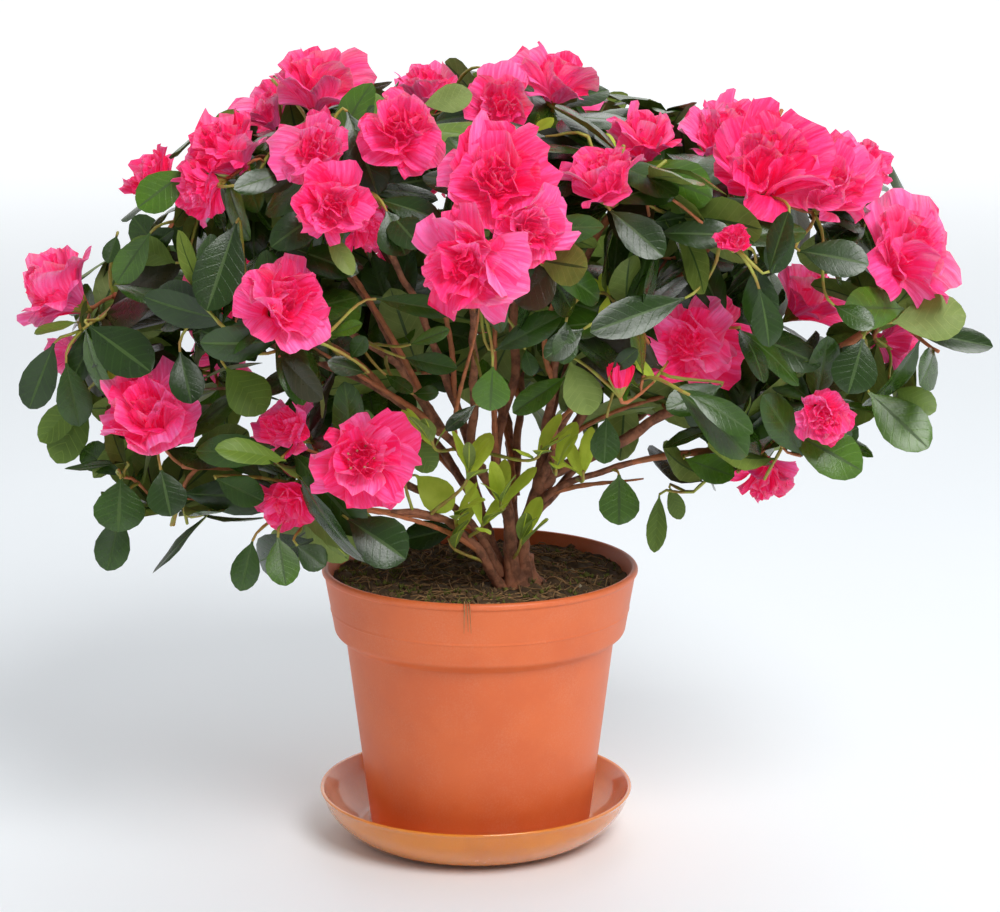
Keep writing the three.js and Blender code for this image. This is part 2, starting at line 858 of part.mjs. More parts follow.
// A mass's twigs join the nearest older twig, with a liking for places close to its stem
function growMass(mass, keepClear) {
  const random = seeded(mass.seed);
  const grown = new Grown(mass, keepClear);
  const joints = [];
  const addTwig = (from, way, spot, face, end) => {
    const length = from.spot.distanceTo(spot);
    const curve = new THREE.CubicBezierCurve3(
      from.spot,
      from.spot.clone().addScaledVector(way, length * twig.setsOut),
      spot.clone().addScaledVector(face, -length * twig.arrives),
      spot,
    );
    const radiusAt = (share) => THREE.MathUtils.lerp(from.radius, end, share);
    const steps = Math.max(1, Math.round(length / twig.step));
    const part = grown.add(rod(curve, radiusAt, twig.sides, steps), from.own);
    if (!part) return null;
    const line = new THREE.CurvePath();
    curve.getSpacedPoints(steps).reduce((last, next) => {
      line.add(new THREE.LineCurve3(last, next));
      return next;
    });
    for (const share of twig.joints) {
      joints.push({
        spot: line.getPointAt(share),
        way: curve.getTangentAt(share),
        reach: from.reach + length * share,
        radius: Math.min(radiusAt(share) / 2, twig.start),
        own: [part],
      });
    }
    return { part, line };
  };

  const inner = mass.middle.clone().lerp(mass.root, growth.stemShort);
  const toInner = inner.clone().sub(mass.root).normalize();
  const stem = { spot: mass.root, radius: mass.rootRadius, reach: 0, own: [] };
  addTwig(stem, mass.rootWay, inner, toInner, twig.stem);

  const tips = shootTips(mass, random);
  const hides = (spot) =>
    tips.some((tip) => {
      if (!tip.width) return false;
      const off = spot.clone().sub(tip.middle);
      const ahead = off.dot(tip.face);
      const aside = Math.sqrt(Math.max(0, off.lengthSq() - ahead * ahead));
      return ahead > -bloomFront.behind * tip.width && aside < bloomFront.aside * tip.width;
    });

  const shoots = [];
  const blooms = [];
  for (const tip of tips) {
    const cost = (joint) => joint.spot.distanceTo(tip.spot) + growth.reachCost * joint.reach;
    const nearest = joints.slice().sort((a, b) => cost(a) - cost(b)).slice(0, growth.tries);
    for (const from of nearest) {
      const way = tip.spot.clone().sub(from.spot).normalize().add(from.way).normalize();
      const end = tip.spot.clone().addScaledVector(tip.face, tip.width ? bloom.sunk : 0);
      const stalk = addTwig(from, way, end, tip.face, twig.end);
      if (!stalk) continue;
      if (tip.width) {
        const fits = bloom.shares.some((share) => {
          const cup = bloomGeometry(tip.middle, tip.face, tip.width * share, random);
          const part = grown.add(cup, [stalk.part, ...blooms]);
          if (part) blooms.push(part);
          return part;
        });
        if (!fits) tip.width = 0;
      }
      shoots.push({ tip, stalk });
      break;
    }
  }

  for (const { tip, stalk } of shoots) {
    const around = new THREE.Vector3().crossVectors(tip.face, aslant).normalize();
    const leaves = tip.width ? leaf.perBloom : leaf.perShoot;
    let turn = random() * 2 * Math.PI;
    for (let k = 0; k < leaves; k += 1) {
      const back = (tip.width ? leafBack.bloom : leafBack.shoot) + k * leaf.spacing;
      const share = Math.max(leafBack.lowest, 1 - back / stalk.line.getLength());
      const root = stalk.line.getPointAt(share);
      const length = leaf.length * (leaf.shortest + leaf.spread * random());
      const least = tip.width ? leafAngles.underBloom : leafAngles.first + leafAngles.more * k;
      const lean = THREE.MathUtils.degToRad(least + leafAngles.spread * random());
      const face = tip.face.clone().setZ(tip.face.z + leaf.up);
      for (let attempt = 0; attempt < growth.tries; attempt += 1) {
        turn += goldenAngle;
        const out = around.clone().applyAxisAngle(tip.face, turn);
        const along = tip.face.clone().multiplyScalar(Math.cos(lean));
        along.addScaledVector(out, Math.sin(lean)).normalize();
        const blade = leafGeometry(root, along, face, length);
        if (cornersOf(blade).slice(1).some(hides)) continue;
        if (grown.add(blade, [stalk.part])) break;
      }
    }
  }
  return wasm.Manifold.union(grown.parts.map((part) => part.solid));
}

const azalea = new THREE.Group();
azalea.name = "azalea";
azalea.add(mesh("saucer", makeSaucer(), colours.saucer, 0.18));
azalea.add(mesh("pot", makePot(), colours.pot, 0.42));
azalea.add(mesh("soil", makeSoil(), colours.soil, 0.95));
azalea.add(mesh("stems", geometryOf(makeStems()), colours.bark, 0.85));

for (const limb of limbs) {
  const bough = limbSolid(limb, boughStart(limb), 1);
  azalea.add(mesh("bough_" + limb.name, geometryOf(bough), colours.bark, 0.85));
}

// Each mass grows on from the tip of the bough of the same name
masses.forEach((mass) => {
  const limb = limbs.find((one) => one.name === mass.name);
  const curve = limbCurve(limb);
  mass.middle = new THREE.Vector3(...mass.hub);
  mass.weight = Math.pow((mass.reach[0] + mass.reach[1] + mass.reach[2]) / 3, 2);
  mass.rootWay = curve.getTangentAt(1);
  mass.root = curve.getPointAt(1).addScaledVector(mass.rootWay, gap);
  mass.rootRadius = limb.to;
});

const keepClear = wasm.Manifold.union(limbs.map((limb) => limbSolid(limb, 0, 1, clearance)));
masses.forEach((mass) => {
  const grown = growMass(mass, keepClear);
  azalea.add(mesh("mass_" + mass.name, geometryOf(grown), colours.foliage, 0.4));
});

export default azalea;
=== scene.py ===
import math

import bpy
import numpy as np
from mathutils import Euler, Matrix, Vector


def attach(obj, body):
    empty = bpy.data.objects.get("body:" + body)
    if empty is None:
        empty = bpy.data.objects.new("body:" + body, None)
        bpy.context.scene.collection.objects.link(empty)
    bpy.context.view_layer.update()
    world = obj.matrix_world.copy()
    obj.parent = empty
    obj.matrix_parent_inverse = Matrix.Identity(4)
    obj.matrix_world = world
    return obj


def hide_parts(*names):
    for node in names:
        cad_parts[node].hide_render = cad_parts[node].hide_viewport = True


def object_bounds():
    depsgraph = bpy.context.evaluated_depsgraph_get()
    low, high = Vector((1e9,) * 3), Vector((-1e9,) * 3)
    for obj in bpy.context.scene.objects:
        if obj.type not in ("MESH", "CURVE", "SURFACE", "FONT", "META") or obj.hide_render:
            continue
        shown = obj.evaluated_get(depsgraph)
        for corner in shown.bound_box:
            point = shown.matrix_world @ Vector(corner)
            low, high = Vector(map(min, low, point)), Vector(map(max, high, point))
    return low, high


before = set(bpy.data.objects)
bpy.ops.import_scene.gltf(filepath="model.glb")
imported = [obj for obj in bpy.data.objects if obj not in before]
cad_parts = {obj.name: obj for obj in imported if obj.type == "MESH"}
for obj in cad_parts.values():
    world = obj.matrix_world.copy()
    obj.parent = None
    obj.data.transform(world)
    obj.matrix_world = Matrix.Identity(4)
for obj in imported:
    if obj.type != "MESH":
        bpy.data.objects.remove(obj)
cadLow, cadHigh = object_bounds()
print("stage 1: frame loaded,", len(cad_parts), "nodes")

mm = 0.001
goldenAngle = math.pi * (3 - math.sqrt(5))


def seeded(seed):
    # the same row of numbers between 0 and 1 as in the part's source
    state = seed * 48611
    while True:
        state = (state * 16807) % 2147483647
        yield state / 2147483647


def some(random, least, spread):
    # from least up to least + spread: the tables give the two as a pair
    return least + spread * next(random)


def unit(v):
    return v / max(np.linalg.norm(v), 1e-9)


def spoke(side, other, angle):
    # the way at an angle from side towards other
    return side * math.cos(angle) + other * math.sin(angle)


def linear(red, green, blue):
    # a colour as the eye sees it, 0 to 255, as the shader wants it
    def one(c):
        c /= 255
        return c / 12.92 if c <= 0.04045 else ((c + 0.055) / 1.055) ** 2.4
    return (one(red), one(green), one(blue), 1.0)


def wire(tree, node, inputs):
    # gives each input its value, or the socket that feeds it
    for label, value in dict(inputs).items():
        if isinstance(value, bpy.types.NodeSocket):
            tree.links.new(value, node.inputs[label])
        else:
            node.inputs[label].default_value = value


def put(tree, kind, inputs=(), **settings):
    # adds a shader node
    node = tree.nodes.new("ShaderNode" + kind)
    for setting, value in settings.items():
        setattr(node, setting, value)
    wire(tree, node, inputs)
    return node


def place(tree, kind="Object"):
    return put(tree, "TexCoord").outputs[kind]


def reckon(tree, operation, *values):
    return put(tree, "Math", enumerate(values), operation=operation).outputs[0]


def ramp(tree, value, low=0, high=1, start=0, end=1, smooth=True):
    # what goes from low to high comes out from start to end
    inputs = {"Value": value, "From Min": low, "From Max": high, "To Min": start, "To Max": end}
    kind = "SMOOTHSTEP" if smooth else "LINEAR"
    return put(tree, "MapRange", inputs, interpolation_type=kind).outputs["Result"]


def blend(tree, share, first, second):
    return put(tree, "Mix", {"Factor": share, "A": first, "B": second}, data_type="RGBA").outputs["Result"]


def noise(tree, where, scale, detail, rough=0.55):
    inputs = {"Vector": where, "Scale": scale, "Detail": detail, "Roughness": rough}
    return put(tree, "TexNoise", inputs).outputs["Fac"]


studio = {
    "cameraSpot": (0.0089, -1.205, 0.430),
    "pitchDown": 12.05,
    "lens": 100.87,
    "sensor": 36,
    "nearest": 0.02,
    "farthest": 60,
    "brightWay": (0.42, 0.9, 0),  # the room is darker in front of the plant than behind it
    "brightFrom": -0.5,
    "brightTo": 0.8,
    "skyBehind": (0.99, 0.995, 1.0),
    "skyBefore": (0.31, 0.32, 0.335),
    # each light: its spot, size and power, and the point that it faces
    "lights": {
        "keyLight": ((0.75, -1.45, 1.75), 1.2, 39, (0, 0, 0.2)),
        "fillLight": ((-1.4, -0.9, 1.1), 1.4, 1.5, (0, 0, 0.2)),
        "rimLight": ((0.3, 1.3, 1.5), 1.2, 5, (0, 0, 0.25)),
    },
}


def makeStudio():
    scene = bpy.context.scene
    data = bpy.data.cameras.new("camera")
    data.lens = studio["lens"]
    data.sensor_width = studio["sensor"]
    data.clip_start = studio["nearest"]
    data.clip_end = studio["farthest"]
    camera = bpy.data.objects.new("camera", data)
    camera.location = studio["cameraSpot"]
    camera.rotation_euler = Euler((math.radians(90 - studio["pitchDown"]), 0, 0))
    scene.collection.objects.link(camera)
    scene.camera = camera

    world = bpy.data.worlds.new("paleStudio")
    world.use_nodes = True
    tree = world.node_tree
    seen = place(tree, "Generated")
    toward = put(tree, "VectorMath", {0: seen, 1: studio["brightWay"]}, operation="DOT_PRODUCT")
    share = ramp(tree, toward.outputs["Value"], studio["brightFrom"], studio["brightTo"])
    sky = blend(tree, share, (*studio["skyBefore"], 1), (*studio["skyBehind"], 1))
    wire(tree, tree.nodes["Background"], {"Color": sky})
    scene.world = world
    scene.view_settings.view_transform = "Standard"

    for name, (spot, size, power, goal) in studio["lights"].items():
        lamp = bpy.data.lights.new(name, "AREA")
        lamp.shape = "DISK"
        lamp.size = size
        lamp.energy = power
        piece = bpy.data.objects.new(name, lamp)
        piece.location = spot
        way = np.array(goal) - np.array(spot)
        flat = math.hypot(way[0], way[1])
        piece.rotation_euler = Euler((math.atan2(flat, -way[2]), 0, math.atan2(-way[0], way[1])))
        scene.collection.objects.link(piece)


makeStudio()


def newGroup(name, inputs, outputs):
    # a shader group with the first values of its inputs: one number is a plain value, four are a colour
    group = bpy.data.node_groups.new(name, "ShaderNodeTree")
    for label, value in inputs.items():
        kind = "NodeSocketFloat" if isinstance(value, float) else "NodeSocketColor"
        group.interface.new_socket(label, in_out="INPUT", socket_type=kind).default_value = value
    for label in outputs:
        kind = "NodeSocketColor" if label == "Color" else "NodeSocketFloat"
        group.interface.new_socket(label, in_out="OUTPUT", socket_type=kind)
    return group, group.nodes.new("NodeGroupInput").outputs, group.nodes.new("NodeGroupOutput")


def makeMottleGroup():
    # blends two colours in soft patches
    inputs = {"Base": (0.5, 0.5, 0.5, 1), "Tint": (0.4, 0.4, 0.4, 1), "Scale": 120.0, "Amount": 0.5}
    group, given, out = newGroup("softMottle", inputs, ["Color", "Mask"])
    mask = ramp(group, noise(group, place(group), given["Scale"], 5, 0.6), 0.38, 0.64)
    colour = blend(group, reckon(group, "MULTIPLY", mask, given["Amount"]), given["Base"], given["Tint"])
    wire(group, out, {"Color": colour, "Mask": mask})
    return group


def makeGrainGroup():
    # a fine skin: small pits over a slow swell
    group, given, out = newGroup("fineGrain", {"Scale": 900.0, "Stretch": 1.0, "Swell": 0.5}, ["Height"])
    squeeze = put(group, "CombineXYZ", {"X": 1, "Y": 1, "Z": given["Stretch"]}).outputs[0]
    where = put(group, "VectorMath", {0: place(group), 1: squeeze}, operation="MULTIPLY").outputs[0]
    fine = noise(group, where, given["Scale"], 4, 0.6)
    swell = reckon(group, "MULTIPLY", noise(group, where, 90, 2), given["Swell"])
    wire(group, out, {"Height": reckon(group, "ADD", fine, swell)})
    return group


def makeDustGroup():
    # fine dust and faint rub marks on moulded plastic
    group, given, out = newGroup("dustAndRub", {"Amount": 0.3, "Scale": 60.0}, ["Mask", "Roughness"])
    cloud = noise(group, place(group), given["Scale"], 6, 0.62)
    specks = noise(group, place(group), 1400, 2, 0.5)
    dusty = ramp(group, reckon(group, "MULTIPLY", cloud, specks), 0.22, 0.42, smooth=False)
    wire(group, out, {"Mask": reckon(group, "MULTIPLY", dusty, given["Amount"]),
                      "Roughness": ramp(group, cloud, end=0.22, smooth=False)})
    return group


def makeStreakGroup():
    # fine lines that run along a petal, told by the place on it and by where it grows
    group, given, out = newGroup("bladeStreaks", {"Across": 9.0, "Along": 1.2}, ["Fac"])
    blade = put(group, "SeparateXYZ", {0: place(group, "UV")}).outputs
    spot = put(group, "VectorMath", {0: place(group), 1: (31, 23, 27)}, operation="DOT_PRODUCT")
    where = put(group, "CombineXYZ", {
        "X": reckon(group, "MULTIPLY", blade["X"], given["Across"]),
        "Y": reckon(group, "MULTIPLY", blade["Y"], given["Along"]),
        "Z": spot.outputs["Value"],
    }).outputs[0]
    wire(group, out, {"Fac": ramp(group, noise(group, where, 1, 3, 0.6), 0.36, 0.62)})
    return group


def makeVeinGroup():
    # the side veins of a leaf, which run slanting from its rib to its edge
    group, given, out = newGroup("leafVeins", {"Count": 8.0, "Slant": 1.7, "Width": 0.09}, ["Fac"])
    blade = put(group, "SeparateXYZ", {0: place(group, "UV")}).outputs
    aside = reckon(group, "MULTIPLY", reckon(group, "ABSOLUTE", blade["X"]), given["Slant"])
    rows = reckon(group, "SUBTRACT", reckon(group, "MULTIPLY", blade["Y"], given["Count"]), aside)
    away = reckon(group, "ABSOLUTE", reckon(group, "SUBTRACT", reckon(group, "FRACT", rows), 0.5))
    wire(group, out, {"Fac": ramp(group, away, high=given["Width"], start=1, end=0)})
    return group


mottleGroup = makeMottleGroup()
streakGroup = makeStreakGroup()
veinGroup = makeVeinGroup()
grainGroup = makeGrainGroup()
dustGroup = makeDustGroup()


def newMaterial(name, sockets):
    material = bpy.data.materials.new(name)
    material.use_nodes = True
    shader = material.node_tree.nodes["Principled BSDF"]
    wire(material.node_tree, shader, sockets)
    return material, material.node_tree, shader


# what a living surface has where its own line below doesn't say otherwise
organicLook = {
    "mottle": 150,
    "amount": 0.6,
    "grain": 1100,
    "stretch": 1,
    "depth": 0.25,
    "grainHeight": 0.0004,
    "coat": 0,
    "coatRough": 0.22,
    "soft": 0,
    "softRadius": (1.0, 0.45, 0.4),
    "softScale": 0.004,
    "specular": 0.5,
    "roughSpread": 0.1,
    "streak": None,  # the colour of a petal's lines
    "streakHeight": 0.0012,
    "veins": None,  # the colour of a leaf's veins
    "veinHeight": 0.0005,
    "streakDepth": 0.0,
    # glow: painted light, an emission in the surface's own colour that brightens it as if light came through
    # it
    "glow": 0.0,
}


def organic(name, base, tint, roughness, **changes):
    # a matt or glossy living surface: mottled colour, a fine grain, and streaks or veins where it has them
    v = {**organicLook, **changes}
    material, tree, shader = newMaterial(name, {
        "Specular IOR Level": v["specular"],
        "Coat Weight": v["coat"],
        "Coat Roughness": v["coatRough"],
        "Subsurface Weight": v["soft"],
        "Subsurface Radius": v["softRadius"],
        "Subsurface Scale": v["softScale"],
    })
    mottle = put(tree, "Group", node_tree=mottleGroup, inputs={
        "Base": linear(*base), "Tint": linear(*tint), "Scale": v["mottle"], "Amount": v["amount"]})
    grain = put(tree, "Group", {"Scale": v["grain"], "Stretch": v["stretch"]}, node_tree=grainGroup)
    bump = put(tree, "Bump", {
        "Strength": v["depth"], "Distance": v["grainHeight"], "Height": grain.outputs["Height"]})
    colour, normal = mottle.outputs["Color"], bump.outputs["Normal"]
    lines = v["streak"] or v["veins"]
    if lines:
        streaks = put(tree, "Group", node_tree=streakGroup if v["streak"] else veinGroup).outputs["Fac"]
        colour = blend(tree, streaks, colour, linear(*lines))
        normal = put(tree, "Bump", invert=v["streak"] is None, inputs={
            "Strength": v["streakDepth"], "Distance": v["streakHeight"] if v["streak"] else v["veinHeight"],
            "Height": streaks, "Normal": normal}).outputs["Normal"]
    most = roughness + v["roughSpread"]
    rough = ramp(tree, mottle.outputs["Mask"], start=roughness, end=most, smooth=False)
    wire(tree, shader, {"Base Color": colour, "Roughness": rough, "Normal": normal})
    # painted light: the surface gives off light in its own colour, in place of the light that shines through a
    # thin petal or leaf
    if v["glow"]:
        wire(tree, shader, {"Emission Color": colour, "Emission Strength": v["glow"]})
    return material


mouldedLook = {
    "mottle": 24,
    "amount": 0.5,
    "dustColour": (228, 190, 165),
    "dustScale": 55,
    "grain": 1600,
    "swell": 1.2,
    "depth": 0.06,
    "grainHeight": 0.0004,
    "coatRough": 0.08,
    "softRadius": (1.0, 0.5, 0.25),
    "softScale": 0.003,
}


def moulded(name, base, tint, roughness, dust, coat, soft):
    # moulded plastic: even colour, light dust, rub marks in the gloss
    v = mouldedLook
    material, tree, shader = newMaterial(name, {
        "Coat Weight": coat, "Coat Roughness": v["coatRough"],
        "Subsurface Weight": soft, "Subsurface Radius": v["softRadius"], "Subsurface Scale": v["softScale"],
    })
    mottle = put(tree, "Group", node_tree=mottleGroup, inputs={
        "Base": linear(*base), "Tint": linear(*tint), "Scale": v["mottle"], "Amount": v["amount"]})
    marks = put(tree, "Group", {"Amount": dust, "Scale": v["dustScale"]}, node_tree=dustGroup)
    grain = put(tree, "Group", {"Scale": v["grain"], "Swell": v["swell"]}, node_tree=grainGroup)
    bump = put(tree, "Bump", {
        "Strength": v["depth"], "Distance": v["grainHeight"], "Height": grain.outputs["Height"]})
    wire(tree, shader, {
        "Base Color": blend(tree, marks.outputs["Mask"], mottle.outputs["Color"], linear(*v["dustColour"])),
        "Roughness": reckon(tree, "ADD", marks.outputs["Roughness"], roughness),
        "Normal": bump.outputs["Normal"],
    })
    return material


potPlastic = moulded("terracottaPlastic", (222, 108, 54), (208, 94, 46), 0.36, 0.08, 0.05, 0.0)
saucerPlastic = moulded("honeyPlastic", (222, 132, 32), (200, 106, 22), 0.12, 0.04, 0.75, 0.2)


def veined(name, base, tint, roughness, veins, **changes):
    return organic(name, base, tint, roughness, veins=veins, streakDepth=0.14, **changes)


glossy = dict(coat=0.15, specular=0.38)
leafTops = [
    veined("leafDark", (36, 60, 15), (26, 45, 12), 0.19, (42, 68, 20), mottle=70, **glossy),
    veined("leafDeep", (48, 77, 18), (34, 58, 14), 0.21, (55, 86, 24), mottle=70, **glossy),
    veined("leafMid", (74, 109, 28), (56, 87, 22), 0.24, (83, 119, 35), coat=0.12, mottle=80, specular=0.36),
    veined("leafBronze", (56, 50, 28), (38, 45, 20), 0.22, (60, 56, 32), coat=0.15, mottle=60, specular=0.36),
    veined("leafLight", (98, 124, 44), (82, 106, 38), 0.38, (113, 139, 52), mottle=90, specular=0.3),
    # the young leaves glow a little: painted light that brightens them
    organic("leafYoung", (182, 198, 66), (156, 178, 50), 0.42, mottle=120, specular=0.3, glow=0.12),
]
leafUnder = veined("leafUnderside", (118, 138, 56), (98, 118, 45), 0.5, (127, 144, 66), mottle=110, depth=0.4)
leafRib = organic("leafRib", (66, 90, 40), (56, 80, 36), 0.4, mottle=200, specular=0.3)
leafMaterials = leafTops + [leafUnder, leafRib]
underSlot, ribSlot = len(leafTops), len(leafTops) + 1

# the petals glow a little in their own colour: painted light in place of the light that shines through them
petalLook = dict(soft=0.2, grain=500, specular=0.3, glow=0.1)
streaked = dict(petalLook, streakDepth=0.4)
petalMaterials = [
    organic("petalBright", (255, 66, 142), (253, 46, 120), 0.52, mottle=260, streak=(248, 26, 98), **streaked),
    organic("petalRose", (255, 90, 162), (255, 70, 142), 0.52, mottle=240, streak=(252, 50, 124), **streaked),
    organic("petalPale", (255, 118, 184), (255, 94, 164), 0.52, mottle=220, streak=(253, 72, 144), **streaked),
    # the deepest pink: painted shade in the throat of each open bloom, and the darker tone of some bud petals
    organic("petalDeepAndShade", (246, 20, 82), (236, 8, 62), 0.5, mottle=260, **petalLook),
    organic("stamen", (248, 130, 158), (242, 100, 136), 0.5, soft=0.2),
    organic("anther", (206, 150, 120), (150, 96, 70), 0.7),
    organic("calyx", (142, 150, 52), (170, 120, 62), 0.5),
]
deepToneAndShadeSlot, stamenSlot, antherSlot, calyxSlot = 3, 4, 5, 6

twigMaterials = [
    organic("barkOld", (160, 102, 72), (102, 64, 45), 0.75, mottle=210, grain=700, stretch=0.25, depth=0.9,
            amount=0.9),
    organic("barkYoung", (192, 112, 70), (152, 98, 58), 0.6, mottle=240, grain=900, stretch=0.3, depth=0.6,
            amount=0.8),
    organic("shootGreen", (158, 164, 66), (166, 122, 60), 0.5, mottle=160, amount=0.8),
]
oldBark, youngBark, greenShoot = range(3)

soilMaterials = [
    organic("peat", (92, 72, 48), (50, 39, 25), 0.95, mottle=180, grain=400, depth=1.0),
    organic("peatCrumb", (112, 86, 58), (64, 48, 32), 0.95, mottle=300),
    organic("rootFibre", (164, 128, 84), (116, 88, 56), 0.85, mottle=300),
    organic("moss", (112, 116, 46), (82, 88, 36), 0.9, mottle=300),
    organic("paleGrit", (168, 156, 128), (140, 126, 98), 0.8, mottle=300),
]
peatSlot, crumbSlot, fibreSlot, mossSlot, gritSlot = range(5)
print("stage 2: materials made")


class Bundle:
    # many small shapes, in millimetres, joined as one mesh
    def __init__(self, name, materials):
        self.name = name
        self.materials = materials
        self.points = []
        self.corners = []
        self.sizes = []
        self.slots = []
        self.places = []
        self.count = 0

    def add(self, points, faces, slot=0, places=None):
        # slot is one number for all the faces, or one for each face; places are across and along the blade
        self.places.append(np.zeros((len(points), 2)) if places is None else places)
        self.points.append(np.asarray(points, np.float32).reshape(-1, 3))
        self.count += len(self.points[-1])
        self.more(faces, slot)

    def more(self, faces, slot=0):
        # further faces on the points of the last shape
        faces = np.asarray(faces, np.int32)
        self.corners.append((faces + self.count - len(self.points[-1])).ravel())
        self.sizes.append(np.full(len(faces), faces.shape[1], np.int32))
        self.slots.append(np.broadcast_to(np.asarray(slot, np.int32), (len(faces),)))

    def triangles(self):
        return int(sum((sizes - 2).sum() for sizes in self.sizes))

    def make(self):
        points = np.concatenate(self.points) * mm
        corners = np.concatenate(self.corners)
        sizes = np.concatenate(self.sizes)
        mesh = bpy.data.meshes.new(self.name)
        mesh.vertices.add(len(points))
        mesh.vertices.foreach_set("co", points.astype(np.float32).ravel())
        mesh.loops.add(len(corners))
        mesh.loops.foreach_set("vertex_index", corners.astype(np.int32))
        mesh.polygons.add(len(sizes))
        starts = np.concatenate([[0], np.cumsum(sizes)[:-1]]).astype(np.int32)
        mesh.polygons.foreach_set("loop_start", starts)
        mesh.polygons.foreach_set("material_index", np.concatenate(self.slots).astype(np.int32))
        mesh.polygons.foreach_set("use_smooth", np.full(len(sizes), True))
        layer = mesh.uv_layers.new(name="blade")
        layer.data.foreach_set("uv", np.concatenate(self.places)[corners].astype(np.float32).ravel())
        for material in self.materials:
            mesh.materials.append(material)
        mesh.update(calc_edges=True)
        mesh.validate()
        mesh.set_sharp_from_angle(angle=math.radians(100))
        piece = bpy.data.objects.new(self.name, mesh)
        bpy.context.scene.collection.objects.link(piece)
        print("   ", self.name, self.triangles(), "triangles")
        return piece


def addRings(bundle, rings, ends, slot):
    # a closed skin over rings of points, drawn together to a point before the first and after the last
    count, around = rings.shape[:2]
    here = np.arange(around)
    after = (here + 1) % around
    start = np.arange(count - 1)[:, None] * around
    band = np.stack([start + here, start + after, start + around + after, start + around + here], -1)
    bundle.add(np.concatenate([rings.reshape(-1, 3), ends]), band.reshape(-1, 4), slot)
    last = (count - 1) * around
    first = np.stack([after, here, np.full(around, count * around)], -1)
    final = np.stack([last + here, last + after, np.full(around, count * around + 1)], -1)
    bundle.more(np.concatenate([first, final]), slot)


def lens(upper, lower, places):
    # two skins of points that share their edge: all the points and their places, the faces of both skins,
    # and the row and column of each face
    rows, columns = upper.shape[:2]
    index = np.arange(rows * columns).reshape(rows, columns)
    low = index.copy()
    low[1:-1, 1:-1] = np.arange((rows - 2) * (columns - 2)).reshape(rows - 2, columns - 2) + rows * columns
    i, j = np.indices((rows - 1, columns - 1)).reshape(2, -1)
    over = np.stack([index[i, j], index[i + 1, j], index[i + 1, j + 1], index[i, j + 1]], -1)
    beneath = np.stack([low[i, j], low[i, j + 1], low[i + 1, j + 1], low[i + 1, j]], -1)
    points = np.concatenate([upper.reshape(-1, 3), lower[1:-1, 1:-1].reshape(-1, 3)])
    places = np.concatenate([places.reshape(-1, 2), places[1:-1, 1:-1].reshape(-1, 2)])
    return points, places, over, beneath, i, j


def sweptFrames(path):
    # a tangent and two crosswise directions at each point, turned as little as can be
    tangents = np.gradient(path, axis=0)
    tangents /= np.maximum(np.linalg.norm(tangents, axis=1), 1e-9)[:, None]
    side = np.cross(tangents[0], [0.0, 0.0, 1.0])
    if np.linalg.norm(side) < 0.1:
        side = np.cross(tangents[0], [1.0, 0.0, 0.0])
    sides = []
    for tangent in tangents:
        side = unit(side - tangent * np.dot(side, tangent))
        sides.append(side)
    sides = np.array(sides)
    return tangents, sides, np.cross(tangents, sides)


def tube(bundle, path, radii, around, slot, relief=None):
    # a closed rod along a path; relief gives a factor on the radius for each ring and side
    path = np.asarray(path, float)
    tangents, sides, fronts = sweptFrames(path)
    angles = np.arange(around) * 2 * math.pi / around
    radii = np.asarray(radii, float)[:, None] * (np.ones(around) if relief is None else relief)
    rings = path[:, None] + radii[..., None] * (
        np.cos(angles)[None, :, None] * sides[:, None] + np.sin(angles)[None, :, None] * fronts[:, None])
    ends = [path[0] - tangents[0] * radii[0].mean() * 0.3, path[-1] + tangents[-1] * radii[-1].mean() * 0.5]
    addRings(bundle, rings, ends, slot)


def turnedShape(bundle, profile, around, slot, bend=None):
    # a closed profile turned round the Z axis; the first and last points are on the axis
    profile = np.asarray(profile, float)
    angles = np.arange(around) * 2 * math.pi / around
    inner = profile[1:-1]
    rings = np.stack([inner[:, 0, None] * np.cos(angles), inner[:, 0, None] * np.sin(angles),
                      np.repeat(inner[:, 1, None], around, 1)], -1)
    if bend is not None:
        rings = bend(rings)
    addRings(bundle, rings, [(0, 0, profile[0, 1]), (0, 0, profile[-1, 1])], slot)


def rounded(corners, radius, steps=4):
    # a profile whose inner corners are rounded off
    made = [corners[0]]
    for before, corner, after in zip(corners, corners[1:], corners[2:]):
        b, c, a = map(lambda p: np.asarray(p, float), (before, corner, after))
        reach = min(radius, np.linalg.norm(b - c) * 0.45, np.linalg.norm(a - c) * 0.45)
        start = c + unit(b - c) * reach
        end = c + unit(a - c) * reach
        for i in range(steps + 1):
            t = i / steps
            made.append(tuple((1 - t) ** 2 * start + 2 * t * (1 - t) * c + t ** 2 * end))
    made.append(corners[-1])
    return made


potShape = {
    "baseRadius": 49,
    "footRing": 6,
    "footHollow": 0.9,
    "shoulderRadius": 59.6,
    "shoulderZ": 91,
    "collarRadius": 64.6,
    "collarZ": 95.5,
    "rimRadius": 70,
    "topZ": 124,
    "wall": 2.6,
    "floor": 4,
    "standsAt": 3.3,
    "ringZ": 105,
    "ringHeight": 0.2,
    "lip": 3.4,
    "lipOut": 1.1,
    "rounding": 0.9,
    "around": 192,
}


